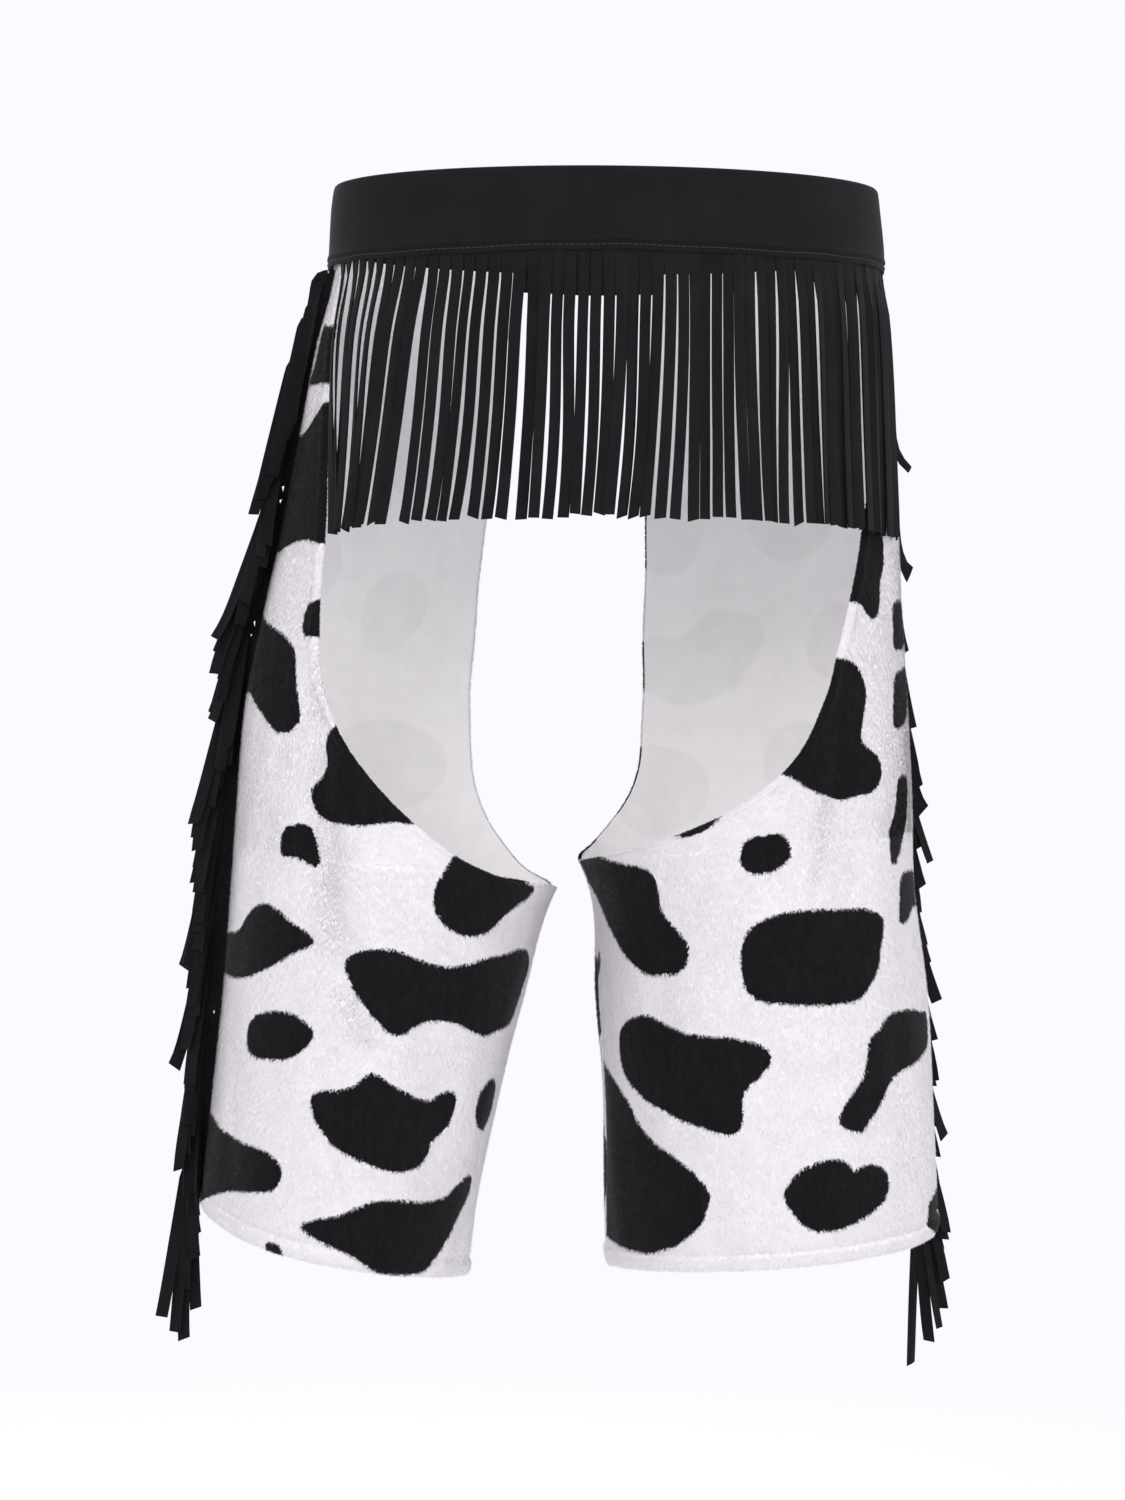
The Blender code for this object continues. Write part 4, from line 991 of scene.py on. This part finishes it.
def make_side_fringe(name, side, node, material, seed):
    """Strands along an outseam, on a strip that is sewn in between the panels."""
    chance = np.random.default_rng(seed)
    length = SIDE_FRINGE_LENGTH[side]
    top = BAND_BOTTOM - 2.0 * GAP
    count = int((top - HEM_SEAM_HEIGHT[side]) / SIDE_STRAND_PITCH)
    index = np.arange(count)
    height = top - SIDE_STRAND_PITCH * (index + 0.5)
    place, out, along = seam_frame(side, height)
    below, _, _ = seam_frame(side, height - length)
    drift = ((below - place) * along).sum(axis=1, keepdims=True) / length
    down = along * drift - [0.0, 0.0, 1.0]
    lean, turn = np.moveaxis(read_table(STRAND_HANG[side], height), -1, 0)
    for bold in BOLD_STRANDS[side]:
        turn[bold.strand] *= bold.turned
    turn = np.radians(turn)[:, None]
    outward = out * np.cos(turn) - along * np.sin(turn)
    sideways = along * np.cos(turn) + out * np.sin(turn)
    lean = lean - BOLD_SHADOW[side] + correlated(chance, count, 0.5, 2) + chance.normal(0.0, 0.5, count)
    curl = correlated(chance, count, 3.0, 2) + chance.normal(0.0, 4.0, count)
    for bold in BOLD_STRANDS[side]:
        lean[bold.strand] += BOLD_SHADOW[side] + bold.lean
        lean[bold.strand - 1] += 0.6 * (BOLD_SHADOW[side] + bold.lean)
        curl[bold.strand] += bold.curl
    lean[-len(LAST_LEANS[side]):] = LAST_LEANS[side]
    rise = smoothstep((4.0 - index) / 4.0) * (1.0 if side == LEFT else 0.3)
    total = length + 0.0025 * np.sin(index * 2.1) + chance.normal(0.0, 0.0014, count) - SIDE_STRIP_REACH
    total[-len(LAST_EXTRA[side]):] += np.array(LAST_EXTRA[side]) * MM
    share = np.linspace(0.0, 1.0, STRAND_RINGS) ** 1.4
    travelled = share[None, :] * total[:, None]
    root = 76.0 + 12.0 * rise
    run = SIDE_BEND_RUN * (1.0 - 0.3 * rise) * chance.uniform(0.8, 1.2, count)
    bend = root[:, None] - (root - lean)[:, None] * smoothstep(travelled / run[:, None])
    bend = bend + curl[:, None] * smoothstep((share[None, :] - 0.62) / 0.38) ** 2
    bend = np.radians(bend)
    bulge = chance.normal(0.0, 2.5, (count, 1)) * np.sin(math.pi * share)[None, :]
    stack = STACK_LEAN[side] * np.cos(turn) + chance.normal(0.0, 0.8, (count, 1)) + bulge
    aside = np.tan(np.radians(stack)) * smoothstep(travelled / 0.006)
    direction = (outward[:, None] * np.sin(bend)[..., None] + down[:, None] * np.cos(bend)[..., None]
                 + sideways[:, None] * aside[..., None])
    steps = np.diff(travelled, axis=1)[..., None] * (direction[:, 1:] + direction[:, :-1]) / 2.0
    start = (place + out * SIDE_STRIP_REACH)[:, None]
    middle = np.concatenate([start, start + np.cumsum(steps, axis=1)], axis=1)
    loose = smoothstep(travelled / 0.020)
    tilt = loose * chance.normal(10.0, 13.0, (count, 1))
    tilt = np.radians(tilt + chance.normal(0.0, 12.0, (count, 1)) * share[None, :])[..., None]
    heading = unit(direction)
    across = unit(np.cross(np.broadcast_to(sideways[:, None], heading.shape), heading)) * side
    wide = unit(across * np.cos(tilt) + np.cross(heading, across) * np.sin(tilt))
    wall = unit(np.cross(wide, heading))
    widths = mix(SIDE_STRAND_PITCH * 0.995, SIDE_STRAND_WIDTH * (1.0 + chance.normal(0.0, 0.06, (count, 1))), loose)
    cup = STRAND_CUP * chance.normal(0.0, 1.0, (count, 1, 1)) * loose[..., None]
    loops = strand_loops(middle, wide, wall, widths / 2.0, SIDE_STRAND_WALL, cup)
    cut = chance.normal(0.0, 0.0009, count)
    loops[:, -1, :, 2] += cut[:, None] * np.array([1.0, 0.0, -1.0, -1.0, 0.0, 1.0])
    levels = np.linspace(top, top - SIDE_STRAND_PITCH * count, 3 * count)
    strip_place, strip_out, _ = seam_frame(side, levels)
    uncut = SIDE_STRIP_UNCUT + correlated(chance, 3 * count, 0.0019, 3)
    uncut = np.clip(uncut, SIDE_STRIP_REACH, 0.009) * smoothstep(0.35 + (top - levels) / 0.012)
    strip = np.stack([strip_place - strip_out * SIDE_STRIP_DEPTH, strip_place + strip_out * uncut[:, None]])
    made = make_strands(name, loops, strip, material)
    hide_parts(node)
    return made


# The waistband's section: layer outside its plain face in mm, and height in mm, round the outer side
BAND_FACE = [
    (-3.0, -12.8), (-3.0, 5.0), (-3.0, 22.6), (-2.7, 24.1), (-2.1, 24.8), (-1.5, 25.0), (-0.9, 24.8), (-0.3, 24.2),
    (0.1, 22.8), (0.35, 19.0), (0.45, 10.0), (0.45, 0.0), (0.35, -10.0), (0.2, -15.4), (0.35, -17.0), (0.75, -18.3),
    (0.8, -19.2), (0.3, -19.8), (-0.15, -20.1), (-0.15, -21.5), (-0.05, -23.4), (-0.15, -24.4), (-0.5, -25.0),
    (-0.9, -25.0), (-1.2, -24.4), (-1.2, -18.0), (-1.2, -13.2),
]
BAND_COLUMNS = 480
BAND_LAP_ANGLE = math.degrees(BAND_OVERLAP / 2.0 / BAND_HALF_WIDTH_BOTTOM)     # to either side of the front
STITCH_LENGTH = 0.0027
STITCH_PITCH = 0.0036
STITCH_RADIUS = 0.00028
STITCH_HEIGHT = -0.0221


def band_point(angle, layer, height):
    """A point of the waistband at an angle, a distance outside its plain face and a height."""
    dip_run_angle = math.degrees(BAND_DIP_RUN / BAND_HALF_WIDTH_BOTTOM)
    under_start = 270.0 - BAND_LAP_ANGLE - dip_run_angle
    dip = BAND_DIP * smoothstep((angle - under_start) / dip_run_angle)
    turn = np.radians(angle)
    slack = smoothstep((BAND_TOP - 0.002 - np.abs(height)) / 0.012)
    wave = 0.00045 * np.sin(3.0 * turn + 60.0 * height) + 0.00022 * np.sin(11.0 * turn + 1.0)
    half_width, half_depth = band_radii(height, BAND_OUTER + layer - dip + wave * slack)
    lower = smoothstep(-height / 0.025)
    droop = (0.0005 * np.sin(5.0 * turn + 0.7) + 0.00025 * np.sin(17.0 * turn)) * lower
    return np.stack([half_width * np.cos(turn), half_depth * np.sin(turn), height + droop], axis=-1)


def make_waistband(material):
    """The waistband: one sewn strip round the waist, whose ends overlap at the centre front."""
    angles = np.linspace(-90.0 - BAND_LAP_ANGLE, 270.0 + BAND_LAP_ANGLE, BAND_COLUMNS + 1)
    face = np.array(BAND_FACE) * MM
    points = band_point(angles[:, None], face[None, :, 0], face[None, :, 1])
    rows, columns = points.shape[:2]
    ring = np.concatenate([points, points[:, :1]], axis=1)
    quads = grid_quads(rows, columns + 1)
    row, column = quads // (columns + 1), quads % (columns + 1)
    faces = row * columns + column % columns
    made = add_mesh("waistband_strip", points.reshape(-1, 3), faces[:, ::-1], [material])
    mesh = made.data
    run = run_along(face)
    run = np.append(run, run[-1] + 0.002)
    u = row / (rows - 1.0)
    v = run[column] / run[-1]
    add_map(made, np.stack([u, v], axis=-1)[:, ::-1])
    close_ends(mesh, rows, columns)
    add_values(made, "along", np.zeros(len(mesh.vertices)))
    add_values(made, "tone", np.full(len(mesh.vertices), 0.5))
    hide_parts("waistband")
    return made


def close_ends(mesh, rows, columns):
    """Closes the two cut ends of the waistband's strip."""
    builder = bmesh.new()
    builder.from_mesh(mesh)
    builder.verts.ensure_lookup_table()
    for row in (0, rows - 1):
        corners = [builder.verts[row * columns + column] for column in range(columns)]
        builder.faces.new(corners)
    bmesh.ops.recalc_face_normals(builder, faces=builder.faces)
    builder.to_mesh(mesh)
    builder.free()
    mesh.shade_smooth()
    mesh.set_sharp_from_angle(angle=math.radians(60.0))


def make_stitches(material):
    """A row of small stitches along the lower edge of the waistband."""
    fine = np.linspace(-90.0 - BAND_LAP_ANGLE, 270.0, 2000)
    path = band_point(fine, np.full(fine.shape, 0.00005), np.full(fine.shape, STITCH_HEIGHT))
    run = run_along(path)
    starts = np.arange(0.002, run[-1] - 0.004, STITCH_PITCH)
    shares = np.array([0.0, 0.25, 0.5, 0.75, 1.0])
    sunk = np.array([-1.0, 0.4, 0.8, 0.4, -1.0]) * STITCH_RADIUS
    at = starts[:, None] + shares * STITCH_LENGTH
    centre = np.stack([np.interp(at, run, path[:, axis]) for axis in range(3)], axis=-1)
    heading = unit(np.gradient(centre, axis=1))
    out = unit(np.cross(heading, [0.0, 0.0, 1.0]))
    out = out * np.sign((out * centre * [1.0, 1.0, 0.0]).sum(axis=-1, keepdims=True))
    up = np.cross(out, heading)
    centre = centre + out * sunk[None, :, None]
    turns = np.radians(np.arange(0.0, 360.0, 60.0))
    loops = (centre[:, :, None] + STITCH_RADIUS * (out[:, :, None] * np.cos(turns)[:, None]
                                                  + up[:, :, None] * np.sin(turns)[:, None]))
    quads, stitch, _, _ = tube_quads(*loops.shape[:3])
    made = add_mesh("waistband_stitches", loops.reshape(-1, 3), quads, [material])
    cell = np.stack([(stitch % 20) / 20.0, (stitch // 20) / 20.0], axis=-1).reshape(-1, 1, 2)
    corner = np.array([[0.0, 0.0], [0.04, 0.0], [0.04, 0.04], [0.0, 0.04]])
    add_map(made, np.clip(cell + corner, 0.0, 1.0))
    return made


# Materials
def new_material(name):
    """A material with its shader, and a helper that adds nodes to it."""
    material = bpy.data.materials.new(name)
    material.use_nodes = True
    tree = material.node_tree
    shader = tree.nodes["Principled BSDF"]
    return material, tree, shader


def add_node(tree, kind, settings=None, **inputs):
    """A node with its settings and fixed inputs."""
    node = tree.nodes.new(kind)
    for key, value in (settings or {}).items():
        setattr(node, key, value)
    for key, value in inputs.items():
        node.inputs[key.replace("_", " ")].default_value = value
    return node


def set_inputs(node, values):
    """Fixed inputs of a node."""
    for key, value in values.items():
        node.inputs[key].default_value = value


def noise(tree, scale, detail=3.0, rough=0.55, stretch=None):
    """Noise in the object's own space; scale counts features in a metre."""
    place = add_node(tree, "ShaderNodeTexCoord")
    texture = add_node(tree, "ShaderNodeTexNoise", Scale=scale, Detail=detail, Roughness=rough)
    if stretch:
        mapping = add_node(tree, "ShaderNodeMapping")
        mapping.inputs["Scale"].default_value = stretch
        tree.links.new(place.outputs["Object"], mapping.inputs["Vector"])
        tree.links.new(mapping.outputs["Vector"], texture.inputs["Vector"])
    else:
        tree.links.new(place.outputs["Object"], texture.inputs["Vector"])
    return texture.outputs["Fac"]


def ramp(tree, value, low, high, to_low=0.0, to_high=1.0):
    """Value between two limits, spread over two others."""
    node = add_node(tree, "ShaderNodeMapRange")
    set_inputs(node, {"From Min": low, "From Max": high, "To Min": to_low, "To Max": to_high})
    tree.links.new(value, node.inputs["Value"])
    return node.outputs["Result"]


def math_node(tree, operation, first, second):
    """One sum of two values, of which either may be a number."""
    node = add_node(tree, "ShaderNodeMath", {"operation": operation})
    for slot, value in enumerate((first, second)):
        if isinstance(value, (int, float)):
            node.inputs[slot].default_value = value
        else:
            tree.links.new(value, node.inputs[slot])
    return node.outputs["Value"]


def mix_colours(tree, share, first, second, blend="MIX"):
    """Blend of two colours, of which either may be fixed."""
    node = add_node(tree, "ShaderNodeMix", {"data_type": "RGBA", "blend_type": blend})
    slots = [socket for socket in node.inputs if socket.type == "RGBA"]
    factor = [socket for socket in node.inputs if socket.type == "VALUE"][0]
    if isinstance(share, (int, float)):
        factor.default_value = share
    else:
        tree.links.new(share, factor)
    for socket, colour in zip(slots, (first, second)):
        if isinstance(colour, tuple):
            socket.default_value = (*colour, 1.0)
        else:
            tree.links.new(colour, socket)
    return [socket for socket in node.outputs if socket.type == "RGBA"][0]


def attribute(tree, name):
    """A number that the mesh holds for each point."""
    node = add_node(tree, "ShaderNodeAttribute", {"attribute_name": name})
    return node.outputs["Fac"]


def add_bump(tree, shader, height, strength, distance):
    """Fine relief."""
    node = add_node(tree, "ShaderNodeBump", Strength=strength, Distance=distance)
    tree.links.new(height, node.inputs["Height"])
    tree.links.new(node.outputs["Normal"], shader.inputs["Normal"])


PILE_WHITE = (0.865, 0.835, 0.845)
PILE_WHITE_DEEP = (0.79, 0.755, 0.765)
PILE_BLACK = (0.0060, 0.0058, 0.0068)
PILE_BLACK_NAP_AND_SHEEN = (0.0140, 0.0135, 0.0155)
SUEDE = (0.0040, 0.0037, 0.0044)
SUEDE_WORN = (0.0100, 0.0094, 0.0108)
LINING = (0.93, 0.91, 0.91)
LINING_SHADOW = (0.82, 0.80, 0.81)


def plush_material():
    """Short white pile with black patches, whose places the meshes hold as distances in mm."""
    material, tree, shader = new_material("plush")
    set_inputs(shader, {"Roughness": 0.88, "Specular IOR Level": 0.12,
                        "Sheen Weight": 0.10, "Sheen Roughness": 0.45})
    fray = ramp(tree, noise(tree, 1100.0, 2.0), 0.25, 0.75, -0.75, 0.75)
    ragged = ramp(tree, noise(tree, 260.0, 2.0), 0.25, 0.75, -0.45, 0.45)
    edge = math_node(tree, "ADD", attribute(tree, "patch"), math_node(tree, "ADD", fray, ragged))
    white_share = ramp(tree, edge, -0.22, 0.22)
    cloudy = ramp(tree, noise(tree, 55.0, 4.0, 0.6), 0.35, 0.72)
    white = mix_colours(tree, math_node(tree, "MULTIPLY", cloudy, 0.55), PILE_WHITE, PILE_WHITE_DEEP)
    # Lighter streaks along the nap of the black pile: partly the nap's own variation, partly painted sheen
    nap_and_sheen = ramp(tree, noise(tree, 240.0, 4.0, 0.65, (1.0, 1.0, 0.35)), 0.42, 0.75)
    black = mix_colours(tree, math_node(tree, "MULTIPLY", nap_and_sheen, 0.6), PILE_BLACK, PILE_BLACK_NAP_AND_SHEEN)
    colour = mix_colours(tree, white_share, black, white)
    # The shade values are painted shade of the pile (darker tuft roots, rib grooves and parted pile) times a random
    # tone
    shade = attribute(tree, "shade")
    combined = add_node(tree, "ShaderNodeCombineColor")
    for channel in ("Red", "Green", "Blue"):
        tree.links.new(shade, combined.inputs[channel])
    shaded = mix_colours(tree, 1.0, colour, combined.outputs["Color"], "MULTIPLY")
    tree.links.new(shaded, shader.inputs["Base Color"])
    add_bump(tree, shader, noise(tree, 1500.0, 2.0, 0.6), 0.35, 0.0003)
    return material


def lining_material():
    """The plush's knitted reverse: off-white, with the patches showing through a little."""
    material, tree, shader = new_material("plush_reverse")
    set_inputs(shader, {"Roughness": 0.93, "Specular IOR Level": 0.15})
    through = ramp(tree, attribute(tree, "patch"), -1.2, 1.2, 0.06, 0.0)
    cloudy = ramp(tree, noise(tree, 70.0, 3.0), 0.35, 0.7, 0.0, 0.35)
    plain = mix_colours(tree, cloudy, LINING, LINING_SHADOW)
    colour = mix_colours(tree, through, plain, (0.09, 0.09, 0.095))
    tree.links.new(colour, shader.inputs["Base Color"])
    knit = noise(tree, 900.0, 1.0, 0.4, (1.0, 1.0, 0.45))
    add_bump(tree, shader, knit, 0.6, 0.0004)
    return material


def suede_material(name, nap_scale):
    """Black imitation suede: a short soft nap with faint lighter rubbing."""
    material, tree, shader = new_material(name)
    set_inputs(shader, {"Roughness": 0.90, "Specular IOR Level": 0.12,
                        "Sheen Weight": 0.04, "Sheen Roughness": 0.5})
    rubbed = ramp(tree, noise(tree, 34.0, 5.0, 0.6), 0.45, 0.78, 0.0, 0.55)
    fine = ramp(tree, noise(tree, nap_scale, 2.0, 0.6), 0.35, 0.75, 0.0, 0.35)
    tone = math_node(tree, "MULTIPLY", attribute(tree, "tone"), 0.3)
    share = math_node(tree, "ADD", math_node(tree, "ADD", rubbed, fine), tone)
    colour = mix_colours(tree, share, SUEDE, SUEDE_WORN)
    tree.links.new(colour, shader.inputs["Base Color"])
    add_bump(tree, shader, noise(tree, nap_scale, 3.0, 0.6), 0.4, 0.00022)
    return material


def plain_material(name, colour, roughness):
    """A surface of the studio or a thread."""
    material, _, shader = new_material(name)
    set_inputs(shader, {"Base Color": (*colour, 1.0), "Roughness": roughness, "Specular IOR Level": 0.2})
    return material


def floor_material():
    """The pale floor, which fades into the surround away from the garment."""
    material, tree, shader = new_material("pale_floor")
    set_inputs(shader, {"Base Color": (0.90, 0.90, 0.94, 1.0), "Roughness": 0.95, "Specular IOR Level": 0.1})
    place = add_node(tree, "ShaderNodeTexCoord")
    length = add_node(tree, "ShaderNodeVectorMath", {"operation": "LENGTH"})
    tree.links.new(place.outputs["Object"], length.inputs[0])
    share = ramp(tree, length.outputs["Value"], FLOOR_FADE_FROM, FLOOR_FADE_TO, 1.0, 0.0)
    tree.links.new(share, shader.inputs["Alpha"])
    return material


def thread_material():
    """Black sewing thread with a fine twist."""
    material, tree, shader = new_material("thread")
    shader.inputs["Roughness"].default_value = 0.62
    twist = ramp(tree, noise(tree, 2600.0, 1.0), 0.3, 0.7)
    tree.links.new(mix_colours(tree, twist, (0.010, 0.010, 0.011), (0.030, 0.030, 0.033)),
                   shader.inputs["Base Color"])
    return material


# Camera and studio
CAMERA_YAW = 6.0              # degrees
CAMERA_DISTANCE = 2.5
CAMERA_LEFT = 0.0267
CAMERA_HEIGHT = -0.311
CAMERA_LENS = 100.0
SENSOR_HEIGHT = 36.0
FLOOR_HEIGHT = -1.02
FLOOR_FADE_FROM = 0.7         # distance from the garment's middle
FLOOR_FADE_TO = 2.4


def add_camera():
    """The camera at the photograph's viewing angle: level, behind the wearer."""
    yaw = math.radians(CAMERA_YAW)
    right = np.array([-math.cos(yaw), math.sin(yaw), 0.0])
    behind = np.array([math.sin(yaw), math.cos(yaw), 0.0])
    place = behind * CAMERA_DISTANCE - right * CAMERA_LEFT + [0.0, 0.0, CAMERA_HEIGHT]
    data = bpy.data.cameras.new("camera")
    data.sensor_fit = "VERTICAL"
    data.sensor_height = SENSOR_HEIGHT
    data.lens = CAMERA_LENS
    camera = bpy.data.objects.new("camera", data)
    axes = np.stack([right, [0.0, 0.0, 1.0], behind], axis=1)
    matrix = Matrix(axes.tolist()).to_4x4()
    matrix.translation = place.tolist()
    camera.matrix_world = matrix
    bpy.context.scene.collection.objects.link(camera)
    bpy.context.scene.camera = camera


def add_light(name, place, size, power, colour=(1.0, 1.0, 1.0)):
    """A large soft light that looks at the middle of the garment."""
    data = bpy.data.lights.new(name, "AREA")
    data.shape = "SQUARE"
    data.size = size
    data.energy = power
    data.color = colour
    light = bpy.data.objects.new(name, data)
    away = unit(np.array(place) - np.array([0.0, 0.0, CAMERA_HEIGHT]))
    side = unit(np.cross([0.0, 0.0, 1.0], away))
    matrix = Matrix(np.stack([side, np.cross(away, side), away], axis=1).tolist()).to_4x4()
    matrix.translation = place
    light.matrix_world = matrix
    bpy.context.scene.collection.objects.link(light)


def add_studio():
    """A plain pale floor, an even pale surround and soft lights."""
    scene = bpy.context.scene
    scene.view_settings.view_transform = "Standard"
    world = bpy.data.worlds.new("surround")
    world.use_nodes = True
    background = world.node_tree.nodes["Background"]
    background.inputs["Color"].default_value = (0.955, 0.955, 1.0, 1.0)
    background.inputs["Strength"].default_value = 1.0
    scene.world = world
    material = floor_material()
    reach = 4.0
    corners = [(-reach, -reach, 0.0), (reach, -reach, 0.0), (reach, reach, 0.0), (-reach, reach, 0.0)]
    floor = add_mesh("floor", corners, [(0, 1, 2, 3)], [material])
    floor.location.z = FLOOR_HEIGHT
    add_light("key", (1.3, 2.3, 1.0), 1.4, 28.0)
    add_light("fill", (-1.9, 1.9, 0.2), 1.6, 18.0)
    add_light("front", (0.6, -2.4, 0.9), 1.8, 16.0)


def finish_piece(made):
    """Every piece rides on the one body."""
    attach(made, "root")
    return made


def make_legs(plush, lining):
    """The four panels with their pile."""
    for side, word in ((LEFT, "left"), (RIGHT, "right")):
        for back, face in ((True, "back"), (False, "front")):
            grid = panel_grid(side, back)
            soft = soft_form(grid)
            outer = leg_point(side, grid.height, grid.angle, BACKING_DEPTH - soft - sewn_form(grid))
            inner = leg_point(side, grid.height, grid.angle, CLOTH_WALL - soft)
            black = patch_distance(side, back, grid.across, grid.height)
            cloth = make_panel(f"{word}_{face}_cloth", grid, outer, inner, black, plush, lining)
            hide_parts(f"{word}_{face}_panel")
            finish_piece(cloth)
            seed = 11 + 2 * side + (1 if back else 0)
            pile = finish_piece(make_pile(f"{word}_{face}_pile", grid, outer, black, plush, seed))


def main():
    """All the pieces, the camera and the studio."""
    add_camera()
    band_suede = suede_material("band_suede", 1900.0)
    fringe_suede = suede_material("fringe_suede", 1500.0)
    band = finish_piece(make_waistband(band_suede))
    stitches = finish_piece(make_stitches(thread_material()))
    back_fringe = finish_piece(make_waist_fringe(fringe_suede))
    for side, word, seed in ((LEFT, "left", 21), (RIGHT, "right", 22)):
        fringe = make_side_fringe(f"{word}_seam_fringe", side, f"{word}_side_fringe", fringe_suede, seed)
        finish_piece(fringe)
    make_legs(plush_material(), lining_material())
    add_studio()


main()
